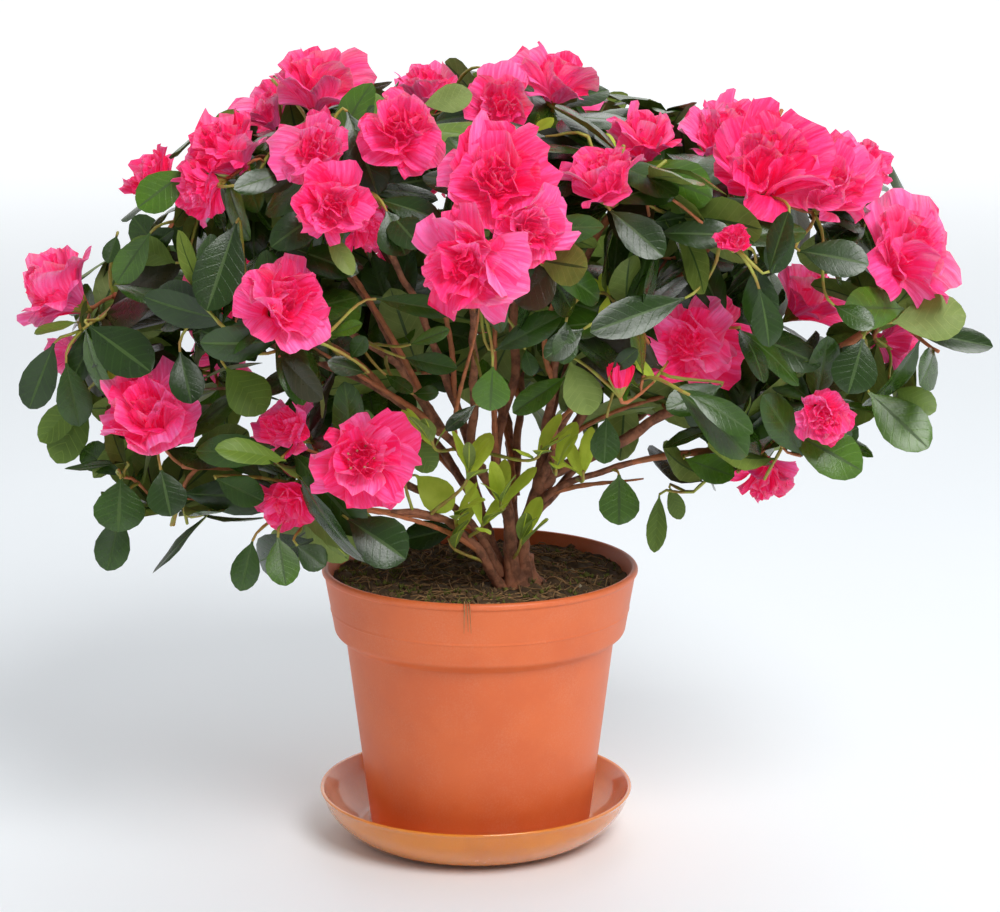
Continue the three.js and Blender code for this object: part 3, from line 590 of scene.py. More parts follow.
def makePot():
    p = potShape
    foot, top, collar = p["standsAt"], p["topZ"], p["collarZ"]
    lipRadius = p["rimRadius"] - p["lipOut"]
    ringRadius = p["collarRadius"] + (lipRadius - p["collarRadius"]) * (p["ringZ"] - collar) / (
        top - p["lip"] - collar)
    # from the middle of its underside, up its outside, over the lip and down its inside
    corners = [
        (0, foot + p["footHollow"]),
        (p["baseRadius"] - p["footRing"] - 1, foot + p["footHollow"]),
        (p["baseRadius"] - p["footRing"], foot),
        (p["baseRadius"] - 1.2, foot),
        (p["baseRadius"], foot + 1.4),
        (p["shoulderRadius"], p["shoulderZ"]),
        (p["collarRadius"] - 0.8, collar - 1.3),
        (p["collarRadius"], collar),
        (ringRadius - 0.1, p["ringZ"] - 0.7),
        (ringRadius + p["ringHeight"], p["ringZ"] - 0.3),
        (ringRadius + p["ringHeight"], p["ringZ"] + 0.3),
        (ringRadius + 0.1, p["ringZ"] + 0.7),
        (lipRadius, top - p["lip"]),
        (p["rimRadius"], top - p["lip"] + 0.8),
        (p["rimRadius"], top - 1.0),
        (lipRadius, top),
        (p["rimRadius"] - p["wall"], top - 0.3),
        (p["shoulderRadius"] - p["wall"], p["shoulderZ"]),
        (p["baseRadius"] - p["wall"], foot + p["floor"]),
        (0, foot + p["floor"]),
    ]
    bundle = Bundle("terracottaPot", [potPlastic])
    turnedShape(bundle, rounded(corners, p["rounding"]), p["around"], 0)
    piece = bundle.make()
    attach(piece, "root")
    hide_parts("pot")


saucerShape = {
    "x": -2,
    "footRadius": 42,
    "footRing": 5,
    "footHollow": 1.2,
    "floorRadius": 51.6,
    "floorTop": 3,
    "rimRadius": 70.2,
    "height": 22.4,
    "wall": 1.7,
    # the flare: shares of the way out from the floor to the rim, and of the height
    "outside": ((0.24, 0.15), (0.47, 0.29), (0.66, 0.44), (0.83, 0.63)),
    "inside": ((0.71, 0.65), (0.55, 0.48), (0.35, 0.33)),
    "grooveRadius": 43,
    "grooveWidth": 5,
    "grooveDepth": 0.5,
    "rounding": 2.2,
    "around": 192,
}


def makeSaucer():
    s = saucerShape
    floor, top, rim, height = s["floorRadius"], s["floorTop"], s["rimRadius"], s["height"]
    groove, grooveTop = s["grooveRadius"], s["floorTop"] - s["grooveDepth"]
    inner = groove - s["grooveWidth"]

    def flared(shares):
        return [(floor + (rim - floor) * out, height * up) for out, up in shares]

    corners = [
        (0, s["footHollow"]), (s["footRadius"] - s["footRing"] - 1, s["footHollow"]),
        (s["footRadius"] - s["footRing"], 0), (s["footRadius"], 0),
        (floor, top * 0.45), *flared(s["outside"]),
        (rim - 1.0, height - 2.2), (rim, height - 0.9), (rim - 0.5, height), (rim - s["wall"], height - 0.4),
        *flared(s["inside"]), (floor + 1, top),
        (groove + 1, top), (groove, grooveTop), (inner, grooveTop), (inner - 1, top), (0, top),
    ]
    bundle = Bundle("honeySaucer", [saucerPlastic])
    turnedShape(bundle, rounded(corners, s["rounding"]), s["around"], 0)
    piece = bundle.make()
    piece.location.x = s["x"] * mm
    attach(piece, "root")
    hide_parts("saucer")


makePot()
makeSaucer()
print("stage 3: pot and saucer")


soilLook = {
    "topZ": 118.6,
    "radius": 66.6,
    "base": 9,
    "side": [(45, 9), (56.4, 91), (66.2, 117)],
    "lump": 1.5,
    "bank": 1.2,
    "bankSpread": 420,
    "sink": 1.2,
    "sinkFrom": 60,
    "sinkOver": 7,
    "around": 150,
    "rings": 60,
    "crumbs": 900,
    "fibres": 420,
    "fibreLength": (5, 15),
    "spreadTo": 63,
    "fibresTo": 65.5,
    "mossTufts": 150,
    "mossFrom": 170,
    "mossOver": 110,
    "mossWithin": (32, 66),
    "overRim": 4,
    "overRimAt": -5,
    "overRimDrop": (2, 12),
    "rimRadius": 70.6,
    "rimZ": 124.3,
    "rimEdge": 123.5,
}

# the flared foot of the stems, where it stands in the peat
foot = {
    "x": 18,
    "y": -15,
    "z": 118,
    "radius": 12,
    "neck": 5.3,
    "height": 14,
    "lobes": 4,
    "around": 48,
    "rings": 22,
}


def soilHeight(x, y):
    # the height of the peat at a spot, banked up a little round the foot of the stems
    s = soilLook
    waves = (np.sin(x * 0.31 + 1) * np.cos(y * 0.27) * 0.6 + np.sin(x * 0.83 + y * 0.51) * 0.28
             + np.sin(x * 1.9 - y * 1.3 + 2) * 0.16 + np.sin(x * 3.1 + y * 2.7) * 0.1)
    bank = s["bank"] * np.exp(-((x - foot["x"]) ** 2 + (y - foot["y"]) ** 2) / s["bankSpread"])
    edge = -s["sink"] * np.clip((np.hypot(x, y) - s["sinkFrom"]) / s["sinkOver"], 0, 1) ** 2
    return s["topZ"] + s["lump"] * waves + bank + edge


def inSoil(random):
    angle = next(random) * 2 * math.pi
    away = math.sqrt(next(random)) * soilLook["spreadTo"]
    return away * math.cos(angle), away * math.sin(angle)


def makeCrumbs(bundle, random):
    corners = np.array([(1, 0, 0), (0, 1, 0), (-1, 0, 0), (0, -1, 0), (0, 0, 1), (0, 0, -1)], float)
    sides = [(0, 1, 4), (1, 2, 4), (2, 3, 4), (3, 0, 4), (1, 0, 5), (2, 1, 5), (3, 2, 5), (0, 3, 5)]
    for _ in range(soilLook["crumbs"]):
        x, y = inSoil(random)
        size = 0.5 + 1.3 * next(random) ** 2
        shape = corners * size * (0.6 + 0.8 * np.array([[next(random)] for _ in corners]))
        shape = shape + (x, y, float(soilHeight(x, y)) + size * 0.2)
        kind = next(random)
        bundle.add(shape, sides, gritSlot if kind > 0.985 else mossSlot if kind > 0.86 else crumbSlot)


def makeFibres(bundle, random):
    for i in range(soilLook["fibres"]):
        x, y = inSoil(random)
        angle = next(random) * 2 * math.pi
        bend = (next(random) - 0.5) * 2.2
        length = some(random, *soilLook["fibreLength"])
        path = []
        for k in range(6):
            arch = 1.2 * math.sin(k / 5 * math.pi) * (i % 3 == 0)
            path.append((x, y, float(soilHeight(x, y)) + 0.35 + arch))
            x += math.cos(angle + bend * k / 5) * length / 5
            y += math.sin(angle + bend * k / 5) * length / 5
        if all(math.hypot(*spot[:2]) < soilLook["fibresTo"] for spot in path):
            tube(bundle, path, np.full(6, 0.16 + 0.2 * next(random)), 4, fibreSlot if i % 4 else crumbSlot)


def makeMoss(bundle, random):
    # low tufts, most of them at the front left
    s = soilLook
    nearest, farthest = s["mossWithin"]
    for i in range(s["mossTufts"]):
        share = next(random)
        angle = math.radians(s["mossFrom"] + s["mossOver"] * share) if i % 3 else share * 2 * math.pi
        away = farthest - (farthest - nearest) * next(random) ** 1.5
        x, y = away * math.cos(angle), away * math.sin(angle)
        if away > s["spreadTo"]:
            continue
        for _ in range(4):
            turn = next(random) * 2 * math.pi
            root = np.array([x, y, float(soilHeight(x, y))])
            tip = root + (1.6 * math.cos(turn), 1.6 * math.sin(turn), 1.2 + 1.4 * next(random))
            tube(bundle, [root, (root + tip) / 2 + (0, 0, 0.4), tip], [0.3, 0.25, 0.08], 3, mossSlot)


def hangFibres(bundle, random):
    # a few root fibres hang over the front of the rim
    s = soilLook
    for _ in range(s["overRim"]):
        x = s["overRimAt"] + 5.5 * (next(random) - 0.5)
        rim = -math.sqrt(s["rimRadius"] ** 2 - x ** 2)
        drop = some(random, *s["overRimDrop"])
        sway = 3 * (next(random) - 0.5)
        edge = s["rimEdge"]
        path = [(x, rim + 7, 119.5), (x + sway * 0.2, rim + 4, s["rimZ"]), (x + sway * 0.4, rim + 1, 125),
                (x + sway * 0.6, rim - 0.2, edge), (x + sway * 0.8, rim + 0.1, edge - drop * 0.5),
                (x + sway, rim + 0.4, edge - drop)]
        tube(bundle, path, [0.22, 0.22, 0.2, 0.18, 0.15, 0.08], 4, fibreSlot)


def makeSoil():
    s = soilLook
    random = seeded(71)
    bundle = Bundle("peatSoil", soilMaterials)
    top = [(s["radius"] * (1 - ring / s["rings"]), s["topZ"]) for ring in range(s["rings"])]

    def lift(rings):
        top = rings[..., 2] > s["topZ"] - 0.5
        rings[..., 2] = np.where(top, soilHeight(rings[..., 0], rings[..., 1]), rings[..., 2])
        return rings

    turnedShape(bundle, [(0, s["base"]), *s["side"], *top, (0, s["topZ"])], s["around"], peatSlot, lift)
    makeCrumbs(bundle, random)
    makeFibres(bundle, random)
    makeMoss(bundle, random)
    hangFibres(bundle, random)
    piece = bundle.make()
    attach(piece, "root")
    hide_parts("soil")


makeSoil()
print("stage 4: soil")


# each limb: its radius at the foot and at its tip, and the way it takes, in millimetres
limbs = {
    "far_right": (4.4, 2.3, [
        (20, -17, 115), (20, -18, 145), (29, -16, 166), (54, -27, 181), (90, -38, 205), (152, -44, 229)]),
    "low_right": (2.2, 1.8, [(22, -17, 153), (38, -21, 165), (66, -28, 176)]),
    "right_front": (2.8, 1.9, [(26, -16, 160), (33, -24, 184), (42, -40, 207), (51, -55, 219)]),
    "centre_right": (2.8, 1.9, [(26, -17, 162), (30, -18, 196), (37, -42, 244), (47, -66, 276)]),
    "upper_right": (3.2, 2, [(28, -16, 163), (44, -18, 195), (76, -28, 245), (98, -38, 274)]),
    "back_right_high": (3, 1.9, [(25, -16, 158), (31, 2, 188), (50, 32, 232), (78, 58, 264)]),
    "back_right_low": (2.6, 1.9, [(22, -16, 148), (42, 2, 166), (66, 26, 181), (84, 44, 192)]),
    "top_centre": (3.8, 1.9, [
        (15, -20, 115), (13, -23, 148), (7, -16, 180), (15, -11, 210), (13, -12, 260), (10, -15, 306)]),
    "front_centre": (3.6, 1.9, [
        (14, -20, 115), (11, -25, 155), (-2, -34, 178), (-2, -46, 212), (-2, -84, 252)]),
    "centre_left": (2.4, 1.8, [(0, -32, 174), (-11, -34, 205), (-24, -52, 245), (-36, -68, 272)]),
    "left_front": (2.5, 1.8, [(1, -31, 173), (-18, -47, 196), (-34, -68, 226), (-53, -86, 243)]),
    "far_left": (2.3, 1.8, [(-16, -45, 193), (-44, -58, 215), (-90, -50, 233), (-128, -28, 242)]),
    "upper_left": (2.3, 1.8, [(-15, -44, 192), (-31, -48, 222), (-50, -48, 255), (-70, -42, 282)]),
    "low_left_front": (2.8, 1.8, [(10, -22, 118), (-6, -36, 146), (-22, -48, 158), (-38, -58, 161)]),
    "low_left": (2.6, 1.8, [
        (9, -20, 124), (-6, -28, 152), (-30, -38, 168), (-64, -50, 177), (-100, -57, 180)]),
    "back_left_low": (3, 1.9, [(12, -16, 118), (0, -8, 150), (-20, 8, 177), (-48, 28, 197), (-74, 42, 208)]),
    "back_left_high": (2.6, 1.9, [(0, -8, 150), (-9, 10, 190), (-34, 42, 240), (-50, 58, 268)]),
    "back_centre": (3, 1.9, [(17, -13, 118), (15, -2, 150), (13, 26, 178), (4, 62, 205), (0, 78, 214)]),
    "back_centre_high": (2.6, 1.9, [(15, 2, 155), (18, 22, 195), (19, 44, 240), (19, 58, 276)]),
}
limbPaths = {}  # each limb's even path, from its foot to its tip

barkLook = {
    "around": 14,
    "ringStep": 2.0,
    "ridges": 5,
    "ridgeHeight": 0.07,
    "knotEvery": 11,
    "knotHeight": 0.2,
    "wander": 0.5,
    "firmEnds": 14,
    "collar": 0.5,
    "collarReach": 7,
    "slim": 0.72,
    "taper": 0.8,
}


def smoothWay(spots, per=40):
    # one smooth curve through the spots, without overshoot at uneven steps
    spots = np.asarray(spots, float)
    padded = np.vstack([2 * spots[0] - spots[1], spots, 2 * spots[-1] - spots[-2]])
    made = []
    for p0, p1, p2, p3 in zip(padded, padded[1:], padded[2:], padded[3:]):
        d0, d1, d2 = (max(np.linalg.norm(b - a) ** 0.5, 1e-2) for a, b in ((p0, p1), (p1, p2), (p2, p3)))
        t1 = ((p1 - p0) / d0 - (p2 - p0) / (d0 + d1) + (p2 - p1) / d1) * d1
        t2 = ((p2 - p1) / d1 - (p3 - p1) / (d1 + d2) + (p3 - p2) / d2) * d1
        t = np.linspace(0, 1, per, endpoint=False)[:, None]
        made.append(p1 + t1 * t + (3 * (p2 - p1) - 2 * t1 - t2) * t ** 2 + (2 * (p1 - p2) + t1 + t2) * t ** 3)
    made.append(spots[-1:])
    return np.concatenate(made)


def evenly(path, count):
    # count points at even steps along a path
    path = np.asarray(path, float)
    steps = np.linalg.norm(np.diff(path, axis=0), axis=1)
    along = np.concatenate([[0], np.cumsum(steps)])
    wanted = np.linspace(0, along[-1], count)
    return np.stack([np.interp(wanted, along, path[:, k]) for k in range(3)], 1), along[-1]


def barkRelief(count, length, b, phase, random):
    # long ridges that turn slowly, knots and small leaf scars
    angles = np.arange(b["around"]) * 2 * math.pi / b["around"]
    s = np.linspace(0, length, count)[:, None]
    relief = 1 + b["ridgeHeight"] * np.sin(b["ridges"] * angles + phase + s * 0.03)
    relief = relief + 0.05 * np.sin(2 * angles - s * 0.21 + phase)
    relief = relief + 0.035 * np.sin(9 * angles + s * 0.6 + phase)
    spot = 4.0
    turn = phase
    while spot < length:
        near = np.exp(-((s - spot) / 1.5) ** 2) * np.exp(-((np.cos(angles - turn) - 1) ** 2) * 2.2)
        relief = relief + b["knotHeight"] * (0.5 + next(random)) * near
        spot += b["knotEvery"] * (0.6 + 0.8 * next(random))
        turn += goldenAngle
    return relief


def growLimbs(bundle):
    b = barkLook
    for order, (name, (start, end, way)) in enumerate(limbs.items()):
        random = seeded(300 + order)
        path, length = evenly(smoothWay(way), 200)
        count = max(12, round(length / b["ringStep"]))
        path, length = evenly(path, count)
        along = np.linspace(0, length, count)[:, None]
        fade = np.clip(along / b["firmEnds"], 0, 1) * np.clip((length - along) / b["firmEnds"], 0, 1)
        phase = order * 1.7
        wander = np.hstack([
            np.sin(along * 0.21 + phase), np.cos(along * 0.17 + 2 * phase), 0.4 * np.sin(along * 0.3)])
        path = path + wander * b["wander"] * fade
        collar = 1 + b["collar"] * np.exp(-along[:, 0] / b["collarReach"])
        radii = (start + (end - start) * np.linspace(0, 1, count) ** b["taper"]) * b["slim"] * collar
        tube(bundle, path, radii, b["around"], oldBark, barkRelief(count, length, b, phase, random))
        limbPaths[name] = path


def growFoot(bundle):
    f = foot
    angles = np.arange(f["around"]) * 2 * math.pi / f["around"]
    profile = [(0, f["z"] - 4), (f["radius"] + 1.5, f["z"] - 3)]
    for k in range(f["rings"]):
        low = 1 - k / (f["rings"] - 1)
        waist = 1 - 0.3 * math.sin(math.pi * low)
        radius = (f["neck"] + (f["radius"] - f["neck"]) * low) * waist
        profile.append((radius, f["z"] + f["height"] * (1 - low)))
    profile.append((0, f["z"] + f["height"] + 1.5))

    def roots(rings):
        low = np.clip(1 - (rings[..., 2] - f["z"]) / f["height"], 0, 1)
        ridge = 1 + 0.17 * low * np.cos(f["lobes"] * angles) + 0.05 * np.sin(9 * angles + 7 * low)
        ridge = ridge + 0.03 * np.sin(17 * angles - 11 * low)
        rings[..., 0] = rings[..., 0] * ridge + f["x"]
        rings[..., 1] = rings[..., 1] * ridge + f["y"]
        return rings

    turnedShape(bundle, profile, f["around"], oldBark, roots)
    # the two closing points are on the stems' own axis
    bundle.points[-1][-2:] += np.array([f["x"], f["y"], 0], np.float32)


# each mass: its middle, how far it reaches, its leafy shoots and its blooms in view.
# a bloom: where its middle is, its width, its turn off the front, its tilt, and how far it has opened
masses = [
    dict(name="far_right", hub=(182, -24, 249), reach=(42, 46, 54), shoots=5, seed=55, blooms=[
        (175, -50, 267, 48, 45, 38, 0.98),
        (165, -11, 302, 28, 80, 37, 0.7),
        (181, 0, 223, 26, 128, -9, 0.6),
    ]),
    dict(name="low_right", hub=(112, -32, 184), reach=(60, 42, 34), shoots=5, seed=15, blooms=[
        (124, -24, 170, 31, 18, -52, 0.8),
        (142, -70, 206, 28, 7, -14, 0.7),
    ]),
    dict(name="right_front", hub=(76, -82, 238), reach=(42, 40, 34), shoots=3, seed=46, blooms=[
        (88, -62, 233, 44, -6, 12, 0.9),
        (97, -54, 240, 27, 40, 20, 0.7),
        (57, -105, 226, 12, 0, 80, 0),
    ]),
    dict(name="centre_right", hub=(60, -94, 302), reach=(33, 38, 38), shoots=3, seed=31, blooms=[
        (49, -114, 308, 37, -20, 54, 0.62),
        (67, -68, 319, 36, 0, 72, 0.6),
        (100, -120, 285, 17, -8, 35, 0.3),
    ]),
    dict(name="upper_right", hub=(128, -57, 305), reach=(46, 43, 42), shoots=4, seed=27, blooms=[
        (101, -20, 315, 36, 18, 71, 0.68),
        (114, -86, 306, 54, 0, 60, 0.95),
        (140, -78, 299, 46, 18, 50, 0.9),
    ]),
    dict(name="top_centre", hub=(8, -24, 328), reach=(50, 50, 34), shoots=4, seed=24, blooms=[
        (-21, -10, 333, 33, 0, 84, 0.75),
        (32, -40, 342, 39, 18, 72, 0.6),
        (8, -66, 332, 33, -7, 30, 0.8),
    ]),
    dict(name="front_centre", hub=(6, -128, 280), reach=(34, 38, 42), shoots=4, seed=2, blooms=[
        (7, -135, 308, 46, 0, 24, 0.88),
        (-2, -155, 281, 47, -12, -6, 0.97),
        (19, -145, 292, 34, 25, 6, 0.85),
    ]),
    dict(name="centre_left", hub=(-44, -94, 314), reach=(38, 40, 38), shoots=3, seed=47, blooms=[
        (-29, -116, 325, 40, 0, 27, 0.85),
        (-63, -108, 316, 34, -6, 24, 0.85),
        (-56, -125, 298, 36, 7, 7, 0.8),
        (-44, -100, 287, 26, 45, -35, 0.6),
    ]),
    dict(name="left_front", hub=(-84, -104, 249), reach=(36, 34, 32), shoots=4, seed=34, blooms=[
        (-77, -120, 258, 41, 25, 26, 0.88),
    ]),
    dict(name="upper_left", hub=(-94, -28, 316), reach=(52, 42, 42), shoots=5, seed=32, blooms=[
        (-103, -60, 313, 44, -58, 49, 0.72),
        (-112, -74, 299, 30, -54, -13, 0.7),
        (-67, -38, 337, 42, 8, 72, 0.78),
        (-90, 10, 321, 24, -90, 62, 0.7),
    ]),
    dict(name="far_left", hub=(-166, -12, 248), reach=(38, 44, 46), shoots=5, seed=27, blooms=[
        (-180, -20, 249, 46, -76, 34, 0.75),
        (-183, 5, 218, 21, -108, -18, 0.5),
        (-144, 30, 291, 31, -70, 40, 0.7),
    ]),
    dict(name="low_left", hub=(-132, -60, 182), reach=(38, 40, 44), shoots=5, seed=5, blooms=[
        (-134, -72, 203, 49, -8, 45, 0.92),
    ]),
    dict(name="low_left_front", hub=(-66, -88, 174), reach=(38, 38, 42), shoots=4, seed=52, blooms=[
        (-77, -85, 202, 32, -50, 27, 0.75),
        (-46, -115, 196, 43, 6, 15, 1),
        (-78, -85, 172, 30, -31, -27, 0.7),
    ]),
    dict(name="back_left_low", hub=(-112, 58, 218), reach=(52, 50, 46), shoots=5, seed=22),
    dict(name="back_left_high", hub=(-72, 72, 300), reach=(52, 50, 42), shoots=5, seed=40),
    dict(name="back_centre", hub=(-8, 118, 226), reach=(50, 50, 48), shoots=5, seed=19),
    dict(name="back_centre_high", hub=(18, 88, 306), reach=(48, 52, 42), shoots=5, seed=33),
    dict(name="back_right_high", hub=(102, 66, 292), reach=(50, 50, 44), shoots=5, seed=9),
    dict(name="back_right_low", hub=(116, 68, 212), reach=(56, 52, 42), shoots=5, seed=46),
]

# the crown's middle, the lowest its leaves hang, and how far it reaches as seen from above and the side
crownShape = {
    "x": 10,
    "bottomZ": 129,
    "reachX": 215,
    "reachY": 180,
    "roundness": 2.6,
    "topZ": 356,
    "topY": -20,
    "fall": 45,
    "fallsOver": 165,
}

# its outline where it crosses the pot's axis, as seen by an eye in front of it, from left to right
crownOutline = {
    "eye": (9, -1205, 430),
    "upper": (
        (-206, 243), (-168, 259), (-157, 270), (-150, 296), (-124, 314), (-100, 333), (-78, 347),
        (45, 347), (75, 329), (116, 328), (130, 319), (181, 300), (194, 272), (206, 250),
    ),
    "lower": (
        (-206, 212), (-170, 160), (-160, 132), (-146, 146), (-104, 141), (-96, 116), (-72, 118),
        (-40, 126), (-24, 108), (62, 108), (66, 165), (96, 155), (190, 172), (206, 217),
    ),
}


def inCrown(spots):
    # the source's rule: round as seen from above, domed from the side, within its outline from the front
    c, o = crownShape, crownOutline
    x, y, z = spots[:, 0], spots[:, 1], spots[:, 2]
    plan = (np.abs(x - c["x"]) / c["reachX"]) ** c["roundness"] + (np.abs(y) / c["reachY"]) ** c["roundness"]
    dome = c["topZ"] - c["fall"] * ((y - c["topY"]) / c["fallsOver"]) ** 2
    if (plan > 1).any() or (z < c["bottomZ"]).any() or (z > dome).any():
        return False
    eye = np.array(o["eye"], float)
    nearer = -eye[1] / (y - eye[1])
    across = eye[0] + (x - eye[0]) * nearer
    level = eye[2] + (z - eye[2]) * nearer
    upper, lower = (np.interp(across, *zip(*o[edge])) for edge in ("upper", "lower"))
    inside = (level < upper) & (level > lower) & (across > o["upper"][0][0]) & (across < o["upper"][-1][0])
    return bool(inside.all())


def heading(turn, tilt):
    # the way of something turned off the front and tilted up, in degrees
    a, b = math.radians(turn), math.radians(tilt)
    return np.array([math.sin(a) * math.cos(b), -math.cos(a) * math.cos(b), math.sin(b)])


shootLook = {
    "heart": (10, -5, 205),
    "directions": 1.45,
    "inward": -0.38,
    "nearest": 0.82,
    "outward": 0.4,
    "upward": 0.25,
    "tipInset": 14,
    "bloomEvery": 4,
    "bloomWidth": 44,
    "bloomMoves": 5,
    "stalk": 0.2,
    "stalkClosed": 0.4,
    "tipsOffBloom": 0.55,
}


def shootTips(mass, random):
    # the source's rule: the blooms first, then leafy shoots all over the mass's outer side
    c = shootLook
    hub, reach = np.array(mass["hub"], float), np.array(mass["reach"], float)
    blooming, leafy = [], []
    for x, y, z, width, turn, tilt, opened in mass.get("blooms", []):
        face = heading(turn, tilt)
        middle = np.array([x, y, z], float)
        deep = c["stalk"] + c["stalkClosed"] * (1 - opened)
        blooming.append(dict(spot=middle - face * deep * width, face=face, middle=middle, width=width,
                             opened=opened))
    outward = unit(hub - np.array(c["heart"], float))
    turnBy = next(random) * 2 * math.pi
    spread = int(mass["shoots"] * c["directions"] + 0.5)
    for k in range(spread):
        height = 1 - 2 * (k + 0.5) / spread
        turn = k * goldenAngle + turnBy
        wide = math.sqrt(1 - height * height)
        face = np.array([math.cos(turn) * wide, math.sin(turn) * wide, height])
        depth = c["nearest"] + (1 - c["nearest"]) * next(random)
        if face @ outward < c["inward"]:
            continue
        spot = hub + face * (reach - c["tipInset"]) * depth
        face = unit(face + outward * c["outward"] + (0, 0, c["upward"]))
        if any(np.linalg.norm(tip["middle"] - spot) < tip["width"] * c["tipsOffBloom"] for tip in blooming):
            continue
        if "blooms" in mass or k % c["bloomEvery"] != 1:
            leafy.append(dict(spot=spot, face=face, width=0))
            continue
        for _ in range(c["bloomMoves"]):
            # a bloom in a place of its own is drawn in until its edges keep within the crown
            edges = spot + face * c["bloomWidth"] * 0.3 + c["bloomWidth"] * 0.5 * np.array(
                [(0, 0, 1), (0.7, 0, 0.7), (-0.7, 0, 0.7), (1, 0, 0), (-1, 0, 0)])
            if inCrown(edges):
                break
            spot = spot + (hub - spot) * 0.15
        blooming.append(dict(spot=spot, face=face, middle=spot + face * c["stalk"] * c["bloomWidth"],
                             width=c["bloomWidth"], opened=0.6 + 0.4 * depth))
    leafy.sort(key=lambda tip: np.linalg.norm(tip["spot"] - mass["root"]))
    return blooming + leafy


twigLook = {
    "stem": 1.9,
    "start": 1.0,
    "end": 0.85,
    "thins": 0.7,
    "setsOut": 0.35,
    "arrives": 0.3,
    "joints": (0.4, 0.7, 1.0),
    "around": 6,
    "ringStep": 3.5,
}


def twigWay(start, sets, spot, face):
    # a twig's way from its start, where it sets out one way, to a spot, where it faces another
    t = twigLook
    length = np.linalg.norm(spot - start["spot"])
    p0, p3 = start["spot"], spot
    p1, p2 = p0 + sets * length * t["setsOut"], spot - face * length * t["arrives"]
    a = np.linspace(0, 1, max(4, round(length / t["ringStep"])))[:, None]
    return (1 - a) ** 3 * p0 + 3 * a * (1 - a) ** 2 * p1 + 3 * a ** 2 * (1 - a) * p2 + a ** 3 * p3


class Growth:
    # the twigs of one mass, with the joints where later twigs may set out
    def __init__(self, bundle):
        self.bundle = bundle
        self.joints = []

    def twig(self, start, path, endRadius, age):
        t = twigLook
        length = np.linalg.norm(path[-1] - path[0])
        share = np.linspace(0, 1, len(path))
        radii = start["radius"] + (endRadius - start["radius"]) * share
        bumps = 1 + 0.12 * np.sin(share * length * 0.9)
        tube(self.bundle, path, radii * bumps, t["around"], age)
        for at in t["joints"]:
            i = round(at * (len(path) - 1))
            way, reach = unit(path[i] - path[i - 1]), start["reach"] + length * at
            radius = min(radii[i] * t["thins"], t["start"])
            self.joints.append(dict(spot=path[i], way=way, reach=reach, radius=radius))


leafLook = {
    "shares": (0, 0.07, 0.2, 0.36, 0.54, 0.71, 0.85, 0.95, 1.0),
    "outline": (0.07, 0.12, 0.48, 0.8, 1.0, 0.97, 0.76, 0.43, 0.05),
    "across": (-1.0, -0.55, -0.07, 0.07, 0.55, 1.0),
    "halfWidth": 0.225,
    "thick": 0.010,
    "rib": 0.010,
    "groove": 0.004,
    "ribWithin": 0.1,
    "shapes": 16,
    "calm": 8,
    "calmness": 0.3,
    # a leaf's width, the fold along its rib and the wave of its edge
    "widths": (0.82, 0.36),
    "folds": (-0.12, 0.55),
    "waves": (0.05, 0.09),
    "lengths": (25, 43),
    "lengthSpread": (0.75, 0.5),
    "leanSpread": 26,
    "spacing": 2.5,
    "clear": 3.2,
    # the places on a leaf, row and column, that have to be free before it grows
    "picked": ((3, 2), (4, 0), (4, 5), (6, 0), (6, 5), (5, 2), (8, 2)),
    "lowest": 128,
    "overRim": 130,
    "rimClear": 78,
    "backFrom": 15,
    # the room in front of a bloom that stays free: from, to and aside, and the ball round its middle
    "bloomRoom": (-0.12, 2.5, 0.42, 0.34),
    "toneShares": (0.40, 0.72, 0.88, 0.96),
    "tries": 5,
}
youngTone = len(leafTops) - 1


def leafShape(random, calm=1.0):
    # one leaf of length 1 along X, its upper side to +Z: a lens whose two skins share their edge
    look = leafLook
    share = np.array(look["shares"])
    half = np.array(look["outline"]) * look["halfWidth"] * some(random, *look["widths"])
    bend = calm * (0.15 + 0.75 * next(random) ** 1.5)
    rise = 0.25 * next(random)
    lean = rise - bend * share ** 1.3
    step = np.diff(share, prepend=0)
    x = np.cumsum(step * np.cos(lean))
    z = np.cumsum(step * np.sin(lean))
    fold = some(random, *look["folds"])
    wave, phase = some(random, *look["waves"]), next(random) * 6.28
    twist = calm * (next(random) - 0.5) * 0.5
    across = np.array(look["across"])[None, :]
    onRib = np.abs(across) < look["ribWithin"]
    lift = np.abs(across) * half[:, None] * fold - across ** 4 * half[:, None] * 0.16
    lift = lift + wave * half[:, None] * across ** 2 * np.sin(share[:, None] * 8 + phase + across)
    groove = np.where(onRib, -look["groove"], 0.0) * np.sin(math.pi * share)[:, None]
    side = across * half[:, None]
    angle = twist * share[:, None]
    top = np.stack([
        np.broadcast_to(x[:, None], lift.shape) - lift * np.sin(lean)[:, None],
        side * np.cos(angle) - lift * np.sin(angle),
        z[:, None] + lift * np.cos(lean)[:, None] + side * np.sin(angle) + groove,
    ], -1)
    ribs = np.where(onRib, look["rib"], 0.0) * (1 - share[:, None] * 0.7)
    under = top - np.array([0, 0, 1.0]) * (look["thick"] + ribs)[..., None]
    blade = np.stack(np.meshgrid(look["across"], share), -1)
    points, places, over, beneath, _, column = lens(top, under, blade)
    faces = np.stack([over, beneath], 1).reshape(-1, 4)
    # a face's kind: 0 on the upper side, 1 under it, 2 on the rib
    kinds = np.where(column == (len(look["across"]) - 1) // 2, 2, [[0], [1]]).T.ravel()
    return points, faces, kinds, places


